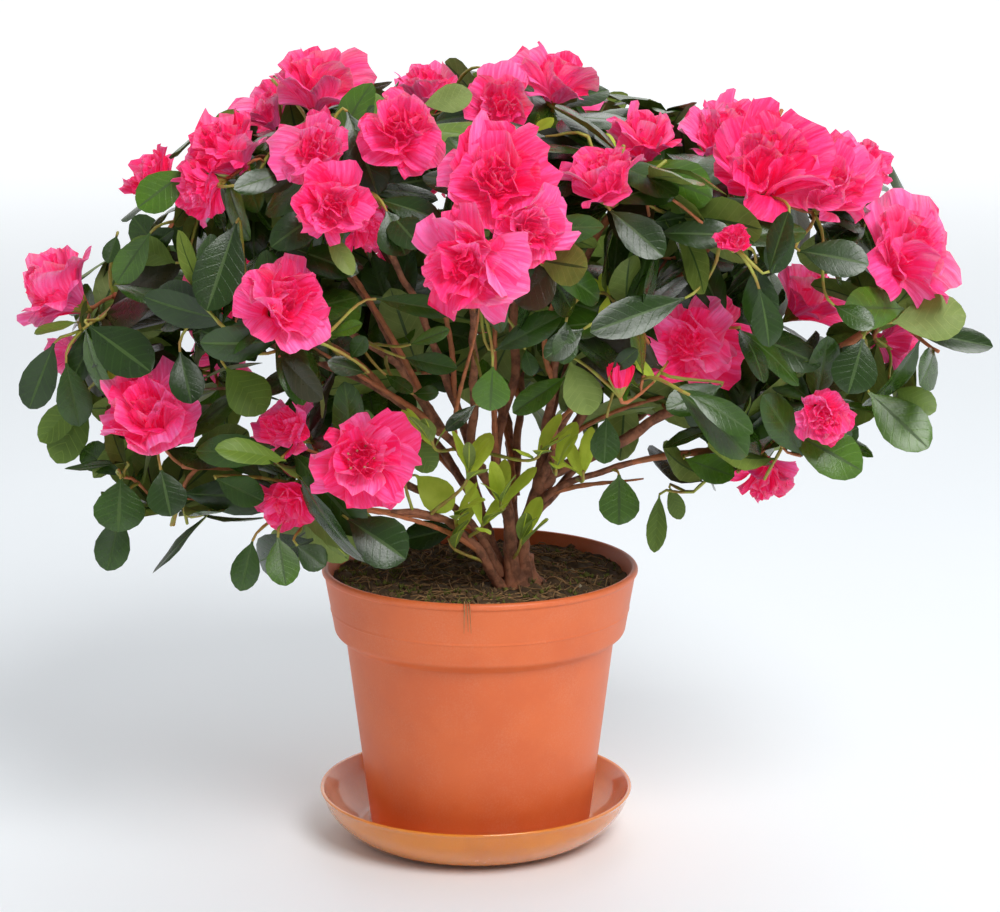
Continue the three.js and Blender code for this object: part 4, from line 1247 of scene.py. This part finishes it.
class Foliage:
    # all the leaves, kept off each other, off the blooms and off the pot
    def __init__(self):
        random = seeded(17)
        self.shapes = [leafShape(random) for _ in range(leafLook["shapes"])]
        self.calmShapes = [leafShape(random, leafLook["calmness"]) for _ in range(leafLook["calm"])]
        self.front = Bundle("leavesFront", leafMaterials)
        self.back = Bundle("leavesBack", leafMaterials)
        self.cells = {}
        self.blooms = []
        self.shown = []
        self.low = np.array(cadLow) / mm
        self.high = np.array(cadHigh) / mm
        self.count = 0

    def clearOf(self, spots, own):
        size = leafLook["clear"]
        for spot in spots:
            first = np.floor(spot / size).astype(int) - 1
            for cell in np.ndindex(3, 3, 3):
                for owner, other in self.cells.get(tuple(first + cell), ()):
                    if owner != own and np.abs(other - spot).max() < size * 0.8:
                        return False
        return True

    def show(self, spot, radius):
        # keeps the view of a spot from the front free
        self.shown.append((*spot, radius))

    def hides(self, spots):
        shown = np.array(self.shown)
        middles = shown[:, :3]
        toEye = np.array(crownOutline["eye"], float) - middles
        toEye /= np.linalg.norm(toEye, axis=1)[:, None]
        off = spots[:, None] - middles
        ahead = (off * toEye).sum(2)
        aside = np.sqrt(np.maximum((off ** 2).sum(2) - ahead ** 2, 0))
        return bool(((ahead > 3) & (aside < shown[:, 3])).any())

    def fits(self, spots, own):
        look = leafLook
        if (spots < self.low + (1, 1, 0)).any() or (spots > self.high - 1).any() or not inCrown(spots):
            return False
        away = np.hypot(spots[:, 0], spots[:, 1])
        overPot = (spots[:, 2] < look["overRim"]) & (away < look["rimClear"])
        if overPot.any() or spots[:, 2].min() < look["lowest"]:
            return False
        behind, before, beside, ball = look["bloomRoom"]
        for bloom in self.blooms:
            off = spots - bloom["middle"]
            ahead = off @ bloom["face"]
            aside = np.sqrt(np.maximum((off ** 2).sum(1) - ahead ** 2, 0))
            wide = bloom["width"]
            if ((ahead > behind * wide) & (ahead < before * wide) & (aside < beside * wide)).any():
                return False
            if ((off ** 2).sum(1) < (ball * wide) ** 2).any():
                return False
        return not self.hides(spots) and self.clearOf(spots, own)

    def leaf(self, root, along, face, length, tone, shape, own, wide=1.0, sure=False):
        # a sure leaf has a calm shape and grows in any case; the others have to fit
        look = leafLook
        shapes = self.calmShapes if sure else self.shapes
        points, faces, kinds, places = shapes[shape % len(shapes)]
        across = unit(np.cross(face, along))
        up = np.cross(along, across)
        placed = root + length * (points[:, :1] * along + points[:, 1:2] * across * wide + points[:, 2:] * up)
        picked = placed[[row * len(look["across"]) + column for row, column in look["picked"]]]
        if not sure and not self.fits(picked, own):
            return False
        for spot in picked:
            cell = tuple(np.floor(spot / look["clear"]).astype(int))
            self.cells.setdefault(cell, []).append((own, spot))
        slots = np.choose(kinds, [tone, underSlot, ribSlot if tone < 3 else tone])
        bundle = self.back if root[1] > look["backFrom"] else self.front
        bundle.add(placed, faces, slots, places)
        self.count += 1
        return True


def toneOf(kind):
    # a spray's tint: mostly dark, some lighter, a few bronzed
    return sum(kind >= share for share in leafLook["toneShares"])


def growRosette(foliage, path, leaves, random, lowest, tone, own, small=1.0, wide=1.0, most=88):
    # leaves round a shoot's end at golden turns: the youngest upright and short, the oldest lying out
    tangent = unit(path[-1] - path[-2])
    around = unit(np.cross(tangent, (0.3, 0.2, 1.0)))
    other = np.cross(tangent, around)
    turn = next(random) * 2 * math.pi
    look = leafLook
    short, long = look["lengths"]
    along = np.concatenate([[0], np.cumsum(np.linalg.norm(np.diff(path[::-1], axis=0), axis=1))])
    grown = 0
    for k in range(leaves):
        age = (k + 0.5) / leaves
        lean = math.radians(lowest + (most - lowest) * age + look["leanSpread"] * (next(random) - 0.5))
        length = (short + (long - short) * (0.3 + 0.7 * age) * some(random, *look["lengthSpread"])) * small
        shape = int(next(random) * 997)
        back = min((0.6 + look["spacing"] * (k + next(random) - 0.5)) * small, along[-1] * 0.8)
        root = np.array([np.interp(max(back, 0.2), along, path[::-1, axis]) for axis in range(3)])
        changed = next(random) < 0.2 and tone < 4
        tint = (tone + 1) % 4 if changed else tone
        for _ in range(look["tries"]):
            turn += goldenAngle
            way = unit(spoke(tangent, spoke(around, other, turn), lean))
            normal = unit(tangent + np.array([0, 0, 0.55]))
            if abs(normal @ way) > 0.93:
                continue
            if foliage.leaf(root, way, normal, length, tint, shape, own, wide):
                grown += 1
                break
    return grown


# places where the light behind the crown shows through it: x, z and radius, at the crown's back
clearings = (
    (157, 208, 8), (-149, 194, 5), (-139, 181, 5), (-108, 179, 4), (-109, 157, 6), (-21, 161, 5),
    (18, 154, 6), (87, 149, 5), (131, 184, 3), (196, 149, 6), (-183, 221, 4), (6, 156, 4),
    (-14, 132, 4), (54, 129, 5), (59, 168, 3), (-71, 164, 3), (31, 165, 3), (-175, 238, 3),
)

# the leaves that stand out from the front: root, tip, width, tone, and whether the blade lies level
standOut = (
    (60, -30, 171, 60, -36, 151, 15, 2, 0), (78, -20, 160, 76, -24, 136, 9, 4, 0),
    (83, -10, 161, 88, -10, 147, 9, 4, 0), (165, -40, 209, 188, -52, 188, 19, 2, 0),
    (178, -26, 208, 194, -30, 198, 15, 4, 0), (129, -58, 196, 160, -62, 181, 17, 2, 0),
    (158, -70, 237, 152, -76, 216, 17, 0, 0), (183, -38, 235, 215, -40, 228, 13, 0, 0),
    (171, -60, 242, 201, -58, 245, 17, 6, 0), (111, -96, 272, 114, -98, 246, 15, 0, 0),
    (123, -104, 292, 117, -106, 270, 13, 0, 0), (87, -44, 181, 107, -50, 175, 12, 2, 0),
    (-161, -62, 241, -134, -74, 222, 24, 0, 0), (-179, -40, 230, -191, -40, 202, 13, 0, 0),
    (-173, -48, 223, -168, -50, 197, 13, 1, 0), (-169, -30, 206, -187, -28, 186, 15, 4, 0),
    (-148, -74, 179, -149, -78, 158, 18, 1, 0), (-150, -62, 161, -156, -64, 138, 15, 1, 0),
    (-112, -72, 164, -136, -70, 139, 9, 0, 1), (-93, -84, 155, -98, -86, 135, 11, 1, 0),
    (-82, -90, 158, -79, -94, 139, 16, 2, 0), (-53, -96, 167, -30, -102, 153, 18, 0, 0),
    (-10, -20, 145, -33, -16, 139, 11, 0, 0), (-96, -96, 288, -107, -104, 255, 23, 0, 0),
    (-51, -104, 333, -39, -112, 302, 15, 0, 0), (-22, -76, 333, -3, -74, 337, 12, 6, 0),
    (2, -40, 345, 22, -60, 338, 7, 0, 1), (-118, -70, 306, -137, -74, 292, 15, 2, 0),
    (-73, -104, 310, -95, -112, 302, 11, 0, 0), (52, -112, 295, 72, -122, 280, 13, 0, 0),
    (71, -104, 285, 100, -108, 285, 11, 0, 0), (82, -110, 260, 45, -122, 248, 18, 0, 0),
    (6, -112, 233, 5, -114, 216, 13, 2, 0), (37, -96, 232, 45, -100, 212, 16, 6, 0),
    (53, -70, 204, 52, -74, 186, 14, 1, 0), (-102, -88, 228, -87, -92, 211, 17, 4, 0),
    (-36, -118, 297, -22, -128, 281, 16, 0, 0), (31, -128, 276, 16, -134, 262, 15, 3, 0),
    (129, -90, 276, 155, -96, 272, 14, 0, 0), (35, -112, 251, 34, -116, 235, 12, 1, 0),
    (-130, -84, 185, -126, -88, 167, 14, 0, 0), (-107, -88, 182, -88, -96, 175, 13, 1, 0),
    (-121, -84, 234, -116, -92, 215, 16, 0, 0), (99, -84, 220, 77, -92, 212, 12, 1, 0),
    (144, -84, 253, 159, -88, 244, 12, 1, 0), (-28, -60, 193, -19, -62, 180, 10, 4, 0),
    (-27, -40, 173, -12, -42, 159, 13, 5, 0),
    (-127, -40, 264, -146, -36, 271, 15, 4, 0), (-136, -50, 278, -151, -46, 257, 11, 2, 0),
    (-169, -40, 239, -186, -44, 235, 10, 4, 1),
    (-147, -60, 183, -173, -56, 180, 9, 1, 1), (-74, -92, 155, -63, -94, 147, 11, 1, 0),
    (114, -120, 272, 123, -118, 294, 13, 0, 1), (111, -112, 264, 116, -118, 243, 12, 0, 1),
    (-169, -24, 204, -181, -30, 177, 15, 4, 0), (-154, -20, 273, -157, -26, 262, 9, 1, 1),
    (-147, -30, 263, -129, -36, 277, 8, 0, 0),
    (-29, -104, 235, -9, -110, 232, 9, 1, 0), (-27, -96, 239, -12, -102, 246, 7, 2, 0),
    (-26, -96, 219, -16, -100, 220, 6, 1, 0), (-1, -84, 212, -13, -88, 202, 7, 0, 0),
    (36, -70, 221, 15, -76, 208, 9, 2, 0), (19, -96, 237, 22, -98, 227, 6, 1, 0),
    (42, -112, 248, 27, -116, 237, 12, 0, 0), (7, -104, 238, 32, -112, 253, 10, 1, 0),
    (-58, -108, 245, -46, -112, 250, 6, 2, 0), (-45, -104, 229, -59, -108, 234, 9, 0, 0),
    (-51, -100, 234, -45, -102, 243, 7, 1, 0), (-37, -98, 227, -26, -104, 220, 7, 1, 0),
    (-38, -118, 300, -15, -124, 294, 9, 0, 0), (-35, -122, 296, -28, -126, 280, 15, 0, 0),
    (-40, -112, 260, -9, -118, 255, 11, 1, 0), (-79, -104, 281, -48, -112, 271, 11, 0, 0),
    (-59, -114, 287, -49, -118, 271, 8, 6, 0), (-94, -94, 303, -73, -100, 306, 11, 3, 0),
    (27, -92, 322, 4, -96, 324, 9, 3, 0), (53, -108, 230, 64, -112, 240, 8, 0, 0),
)

# young shoots between the stems: tip, and how many leaves
youngShoots = (
    (2, -48, 155, 6), (26, -70, 192, 8), (32, -64, 184, 5), (-19, -74, 197, 7), (-10, -52, 160, 7),
    (44, -50, 177, 5), (-31, -58, 176, 4), (-4, -64, 180, 5), (9, -50, 164, 5), (18, -36, 144, 4),
    (-13, -40, 145, 5),
)


bloomLook = {
    "rows": 8,
    "columns": 11,
    "thick": 0.25,
    "full": 1.16,
    "widest": 1.86,
    # a petal's size, and how far its rim leans out
    "sizes": (0.74, 0.42),
    "rimLeans": (0.55, 0.85),
    "jitter": 0.9,
    "whorlStep": 0.018,
    "stamens": 9,
    "stamensFrom": 0.99,
    "stamenLean": (0.16, 0.2),
    "stamenLength": (0.42, 0.12),
    "sepals": 5,
    "budPetals": 7,
    # each whorl: petals, their length and width as shares of the bloom's, lean at root and rim, ruffle, tones
    "whorls": (
        (6, 0.55, 0.52, 24, 92, 0.10, (0, 1, 2)),
        (6, 0.53, 0.44, 17, 62, 0.13, (1, 0, 2)),
        (7, 0.50, 0.33, 9, 40, 0.15, (0, 1, 2)),
        (8, 0.44, 0.25, -5, 16, 0.17, (0, 1, 0)),
    ),
}


def petal(length, width, leanRoot, leanRim, ruffle, random):
    # one petal as a thin closed sheet; x is out from the bloom's axis, y across, z along the axis
    look = bloomLook
    rows, columns = look["rows"], look["columns"]
    v = np.linspace(0, 1, rows)[:, None] ** 0.9
    u = np.linspace(-1, 1, columns)[None, :]
    p = [next(random) * 6.28 for _ in range(8)]
    top = 1 - 0.2 * np.abs(u) ** 2.4 - 0.05 * np.sin(3.6 * u + p[0]) - 0.035 * np.sin(9 * u + p[1])
    s = v * (1 + (top - 1) * v ** 2)
    lean = np.radians(leanRoot + (leanRim - leanRoot) * s ** 1.5)
    steps = 39
    fine = np.linspace(0, 1, steps + 1)
    angles = np.radians(leanRoot + (leanRim - leanRoot) * fine ** 1.5)
    out, up = (np.interp(s, fine, np.concatenate([[0], np.cumsum(wave(angles[1:]) / steps)])) * length
               for wave in (np.sin, np.cos))
    half = width / 2 * (0.14 + 0.86 * np.sin(np.clip(s, 0, 1) * look["widest"]) ** 1.25)
    wave = ruffle * length * s ** 1.7 * (
        np.sin(4.4 * u + p[2]) * 0.7 + 0.5 * np.sin(9 * u + 4 * s + p[3]) * np.abs(u) ** 0.5)
    folds = 0.034 * length * s ** 0.7 * np.sin(7.5 * u + p[4] + 0.8 * s)
    folds = folds + 0.014 * length * s * np.sin(15 * u + p[5])
    shift = wave + folds - 0.24 * half * u ** 2
    twist = 1.1 * (p[6] / 3.14 - 1) * s
    side = u * half * np.cos(twist) - shift * np.sin(twist)
    shift = u * half * np.sin(twist) + shift * np.cos(twist)
    sheet = np.stack([out + shift * np.cos(lean), side, up - shift * np.sin(lean)], -1)
    under = sheet + np.stack([np.cos(lean), 0 * lean, -np.sin(lean)], -1) * look["thick"]
    blade = np.stack([np.broadcast_to(u, s.shape), s], -1)
    points, places, over, beneath, row, _ = lens(sheet, under, blade)
    turned = [0, 3, 2, 1]  # a petal's upper side faces the bloom's axis
    return points, over[:, turned], beneath[:, turned], row, places


def growBloom(bundle, tip, random):
    # a double bloom: whorls of ruffled petals, stamens where it is wide open, and a small calyx
    look = bloomLook
    face, width, opened = tip["face"], tip["width"] * look["full"], tip["opened"]
    side = unit(np.cross(face, (0.21, 0.4, 0.9)))
    other = np.cross(face, side)
    root = tip["spot"] - face * 0.02 * width
    body = int(next(random) * 3)
    for order, (petals, long, wide, leanRoot, leanRim, ruffle, tones) in enumerate(look["whorls"]):
        turn = next(random) * 2 * math.pi
        for k in range(petals):
            size = some(random, *look["sizes"])
            rim = leanRim * (0.42 + 0.58 * opened) * some(random, *look["rimLeans"])
            points, inside, outside, row, places = petal(
                long * width * size, wide * width * size, leanRoot * (0.5 + 0.5 * opened), rim, ruffle,
                random)
            angle = turn + (k + look["jitter"] * (next(random) - 0.5)) * 2 * math.pi / petals
            out, cross = spoke(side, other, angle), spoke(other, -side, angle)
            start = root + face * order * look["whorlStep"] * width + out * (1.0 - 0.2 * order)
            placed = start + points[:, :1] * out + points[:, 1:2] * cross + points[:, 2:] * face
            tone = tones[int(next(random) * 3)]
            if order < 2 and next(random) < 0.5:
                tone = body
            # the two rows nearest each petal's root, inside the bloom, take the deepest pink: painted shade in
            # the bloom's throat
            bundle.add(placed, inside, np.where(row < 2, deepToneAndShadeSlot, tone), places)
            bundle.more(outside, np.where(row < 1, calyxSlot, tone))
    if opened > look["stamensFrom"]:
        for k in range(look["stamens"]):
            way = unit(face + spoke(side, other, k * goldenAngle) * some(random, *look["stamenLean"]))
            length = width * some(random, *look["stamenLength"])
            path = [root, root + way * length * 0.5, root + unit(way + face * 0.2) * length]
            tube(bundle, path, [0.3, 0.26, 0.2], 4, stamenSlot)
            path = [path[-1] - way * 0.8, path[-1], path[-1] + way * 0.9]
            tube(bundle, path, [0.35, 0.6, 0.35], 5, antherSlot)
    for k in range(look["sepals"]):
        out = spoke(side, other, k * 2 * math.pi / look["sepals"])
        start = root - face * 1.6
        path = [start, start + out * 1.5 + face * 2.5, start + out * 2.4 + face * 6.5]
        tube(bundle, path, [1.1, 1.0, 0.2], 5, calyxSlot)


def growBud(bundle, tip, random):
    # a closed bud: overlapping petals round a pointed heart, in a green calyx
    face, width = tip["face"], tip["width"]
    side = unit(np.cross(face, (0.2, 0.3, 0.9)))
    other = np.cross(face, side)
    for k in range(bloomLook["budPetals"]):
        out, cross = spoke(side, other, k * goldenAngle), spoke(other, -side, k * goldenAngle)
        points, inside, outside, row, places = petal(width * 1.35, width * 0.9, 16, -14, 0.03, random)
        placed = tip["spot"] + (points[:, :1] + 0.4) * out + points[:, 1:2] * cross + points[:, 2:] * face
        bundle.add(placed, inside, 0 if k % 2 else deepToneAndShadeSlot, places)
        bundle.more(outside, np.where(row < 2, calyxSlot, 0 if k % 3 else deepToneAndShadeSlot))


plantLook = {
    "stemShort": 0.25,
    "reachCost": 0.3,
    "sprigs": 4,
    "sprigLength": (14, 16),
    "sprigSpread": 1.0,
    "sprigWithin": 0.95,
    "leavesOnSprig": 5,
    "leavesUnderBloom": 5,
    "youngEvery": 4,
    "behind": 170,
    "stemsShowTo": 205,
    "stemsShowWithin": 62,
    "stemsShow": 9,
    "thinStem": 1.5,
    "inner": 60,
    "innerLow": (-75, -10, 196),
    "innerHigh": (100, 85, 262),
    # how far the youngest leaf leans off its shoot, in degrees, for each kind of shoot
    "leans": {"bloom": 76, "shoot": 34, "sprig": 36, "young": 14, "stem": 6, "inner": 40},
    # a leaf keeps off those of other shoots, which are told by numbers; where the numbers of a kind start
    "numbers": {"inner": 700000, "stem": 800000, "standOut": 900000},
}


def anyWay(random):
    return np.array([next(random) - 0.5 for _ in range(3)])


def growSprigs(mass, tip, path, growth, foliage, random, number, own):
    # finer shoots set out from the outer half of a twig
    c, leans = plantLook, plantLook["leans"]
    hub, reach = np.array(mass["hub"], float), np.array(mass["reach"], float)
    for k in range(c["sprigs"]):
        at = path[max(1, round((0.35 + 0.5 * next(random)) * (len(path) - 1)))]
        face = unit(tip["face"] + unit(anyWay(random)) * c["sprigSpread"])
        spot = at + face * some(random, *c["sprigLength"])
        tone = toneOf(next(random))
        if np.linalg.norm((spot - hub) / reach) > c["sprigWithin"]:
            continue
        if any(np.linalg.norm(spot - bloom["middle"]) < bloom["width"] * 0.5 for bloom in foliage.blooms):
            continue
        start = dict(spot=at, radius=0.8, reach=0)
        sprig = twigWay(start, unit(face + unit(path[-1] - path[0]) * 0.6), spot, face)
        if growRosette(foliage, sprig, c["leavesOnSprig"], random, leans["sprig"], tone, own + k + 1) > 1:
            growth.twig(start, sprig, 0.7, greenShoot)
            if (number + k) % c["youngEvery"] == 0:
                growRosette(foliage, sprig, 4, random, leans["young"], youngTone, own + k + 11, 0.42, 0.7)


def growMass(mass, twigs, petals, foliage, order):
    c, leans = plantLook, plantLook["leans"]
    path = limbPaths[mass["name"]]
    way = unit(path[-1] - path[-3])
    growth = Growth(twigs)
    hub = np.array(mass["hub"], float)
    inner = hub + (mass["root"] - hub) * c["stemShort"]
    start = dict(spot=mass["root"] - way * 2, radius=limbs[mass["name"]][1] * barkLook["slim"], reach=0)
    path = twigWay(start, way, inner, unit(inner - mass["root"]))
    growth.twig(start, path, twigLook["stem"], youngBark)
    random = seeded(mass["seed"] * 31 + 7)
    for number, tip in enumerate(mass["tips"]):
        costs = [np.linalg.norm(joint["spot"] - tip["spot"]) + c["reachCost"] * joint["reach"]
                 for joint in growth.joints]
        joint = growth.joints[int(np.argmin(costs))]
        sets = unit(unit(tip["spot"] - joint["spot"]) + joint["way"])
        path = twigWay(joint, sets, tip["spot"], tip["face"])
        own = order * 1000 + number * 20
        tone = toneOf(next(random))
        if tip["width"]:
            grow = growBloom if tip["opened"] > 0 else growBud
            grow(petals, tip, random)
            growRosette(foliage, path, c["leavesUnderBloom"], random, leans["bloom"], tone, own, 0.9)
        elif growRosette(foliage, path, c["leavesOnSprig"], random, leans["shoot"], tone, own) < 2:
            continue
        growth.twig(joint, path, twigLook["end"], youngBark)
        growSprigs(mass, tip, path, growth, foliage, random, number, own)
    return growth.joints


def nearestOn(joints, spot):
    return joints[int(np.argmin([np.linalg.norm(joint["spot"] - spot) for joint in joints]))]


def growStandOut(foliage):
    # the leaves in their own places, and what a later leaf may not hide
    for order, (*root, tipX, tipY, tipZ, width, tone, level) in enumerate(standOut):
        root, tip = np.array(root, float), np.array([tipX, tipY, tipZ], float)
        length = np.linalg.norm(tip - root)
        face = unit(np.array([0.1, -0.3, 1.0] if level else [0.12, -1.0, 0.45]))
        wide = width / (length * 2 * leafLook["halfWidth"])
        own = plantLook["numbers"]["standOut"] + order
        foliage.leaf(root, unit(tip - root), face, length * 1.04, tone, order, own, wide, True)
        for share in (0.3, 0.6, 0.85):
            foliage.show(root + (tip - root) * share, width * 0.42)


def growBetween(foliage, growth, limbJoints, allJoints):
    # twigs to the leaves that stand out, young shoots between the stems, thin stems, and leaves further in
    c, leans = plantLook, plantLook["leans"]
    for x, y, z, tipX, tipY, tipZ, *_ in standOut:
        root = np.array([x, y, z], float)
        joint = nearestOn(allJoints, root)
        along = unit(np.array([tipX - x, tipY - y, tipZ - z], float))
        sets = unit(unit(root - joint["spot"]) + joint["way"])
        growth.twig(dict(joint, radius=0.8), twigWay(joint, sets, root, along), 0.55, greenShoot)
    random = seeded(91)
    for own, (x, y, z, leaves) in enumerate(youngShoots, c["numbers"]["stem"]):
        spot = np.array([x, y, z], float)
        joint = nearestOn([one for one in limbJoints if one["spot"][2] < z - 8], spot)
        face = unit(np.array([0.25 * (next(random) - 0.5), -0.2, 1.0]))
        path = twigWay(joint, unit(spot - joint["spot"]), spot, face)
        growth.twig(dict(joint, radius=0.9), path, 0.6, greenShoot)
        growRosette(foliage, path, leaves, random, leans["stem"], youngTone, own, 0.56, 0.78, 50)
    for mass in masses:
        path = limbPaths[mass["name"]]
        at = round((0.12 + 0.3 * next(random)) * len(path))
        start = dict(spot=path[at], radius=c["thinStem"], reach=0)
        lean = anyWay(random)
        hub = np.array(mass["hub"], float)
        goal = hub + (mass["root"] - hub) * 0.5 + lean * 0.7 * np.array(mass["reach"])
        sets = unit(unit(path[at + 3] - path[at]) + unit(lean) * 0.5)
        growth.twig(start, twigWay(start, sets, goal, unit(goal - start["spot"])), 0.4, youngBark)
    low, high = np.array(c["innerLow"], float), np.array(c["innerHigh"], float)
    for own in range(c["numbers"]["inner"], c["numbers"]["inner"] + c["inner"]):
        spot = low + (high - low) * np.array([next(random) for _ in range(3)])
        joint = nearestOn(allJoints, spot)
        face = unit(unit(spot - joint["spot"]) + np.array([0, 0, 0.5]))
        path = twigWay(joint, joint["way"], spot, face)
        tone = toneOf(next(random))
        if growRosette(foliage, path, c["leavesOnSprig"], random, leans["inner"], tone, own) > 1:
            growth.twig(dict(joint, radius=0.9), path, 0.7, youngBark)


def setTips(foliage):
    # where the shoots and blooms of each mass end; the blooms in view stay in view
    for mass in masses:
        mass["root"] = limbPaths[mass["name"]][-1]
        mass["tips"] = shootTips(mass, seeded(mass["seed"]))
        blooms = [tip for tip in mass["tips"] if tip["width"]]
        foliage.blooms += blooms
        for tip in blooms if "blooms" in mass else ():
            foliage.show(tip["middle"] + tip["face"] * 0.1 * tip["width"], 0.34 * tip["width"])
    print("   ", len(foliage.blooms), "blooms")


def jointsOnLimbs():
    joints = []
    for path in limbPaths.values():
        for at in range(4, len(path) - 4, 4):
            joints.append(dict(spot=path[at], way=unit(path[at + 1] - path[at]), reach=0, radius=1.0))
    return joints


def growPlant():
    c = plantLook
    bark = Bundle("barkStems", twigMaterials)
    growLimbs(bark)
    growFoot(bark)
    twigs = Bundle("twigs", twigMaterials)
    petals = [Bundle(name, petalMaterials) for name in ("petalsFront", "petalsLeft", "petalsBack")]
    foliage = Foliage()
    setTips(foliage)
    for x, z, radius in clearings:
        foliage.show((x, c["behind"], z), radius)
    growStandOut(foliage)
    shownFirst = len(foliage.shown)
    for path in limbPaths.values():
        for spot in path[::5]:
            if spot[2] < c["stemsShowTo"] and abs(spot[0] - foot["x"]) < c["stemsShowWithin"]:
                foliage.show(spot, c["stemsShow"])
    joints = []
    for order, mass in enumerate(masses):
        hub = mass["hub"]
        part = petals[2] if hub[1] > 20 else petals[1] if hub[0] < -30 else petals[0]
        joints += growMass(mass, twigs, part, foliage, order)
    del foliage.shown[shownFirst:]
    limbJoints = jointsOnLimbs()
    growBetween(foliage, Growth(twigs), limbJoints, joints + limbJoints)
    print("   ", foliage.count, "leaves")

    stems = bark.make()
    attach(stems, "root")
    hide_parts("stems", *["bough_" + name for name in limbs])
    allMasses = ["mass_" + mass["name"] for mass in masses]
    for bundle in [twigs, foliage.front, foliage.back, *petals]:
        piece = bundle.make()
        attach(piece, "root")
        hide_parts(*allMasses)


growPlant()
print("stage 5: plant grown")


floorLook = {
    "halfSize": 30,
    "colour": (0.87, 0.91, 0.94),
    "tint": 0.985,
    "mottle": 1.5,
    "roughness": 0.6,
    "farGlow": 0.44,
    "glowFrom": 1.0,
    "glowTo": 3.2,
}


def makeFloor():
    f = floorLook
    size, colour = f["halfSize"], f["colour"]
    mesh = bpy.data.meshes.new("paleFloor")
    corners = [(-size, -size, 0), (size, -size, 0), (size, size, 0), (-size, size, 0)]
    mesh.from_pydata(corners, [], [(0, 1, 2, 3)])
    floor = bpy.data.objects.new("paleFloor", mesh)
    bpy.context.scene.collection.objects.link(floor)
    sockets = {"Roughness": f["roughness"], "Emission Color": (1, 1, 1, 1)}
    material, tree, shader = newMaterial("paleFloor", sockets)
    mottle = put(tree, "Group", node_tree=mottleGroup, inputs={
        "Base": (*colour, 1), "Tint": (*(f["tint"] * c for c in colour), 1), "Scale": f["mottle"]})
    # far off, the floor glows like a lit white wall
    away = put(tree, "VectorMath", {0: place(tree)}, operation="LENGTH").outputs["Value"]
    glow = ramp(tree, away, f["glowFrom"], f["glowTo"], end=f["farGlow"])
    wire(tree, shader, {"Base Color": mottle.outputs["Color"], "Emission Strength": glow})
    mesh.materials.append(material)


makeFloor()

print("stage 6: CAD box", [round(v, 3) for v in cadLow], [round(v, 3) for v in cadHigh])
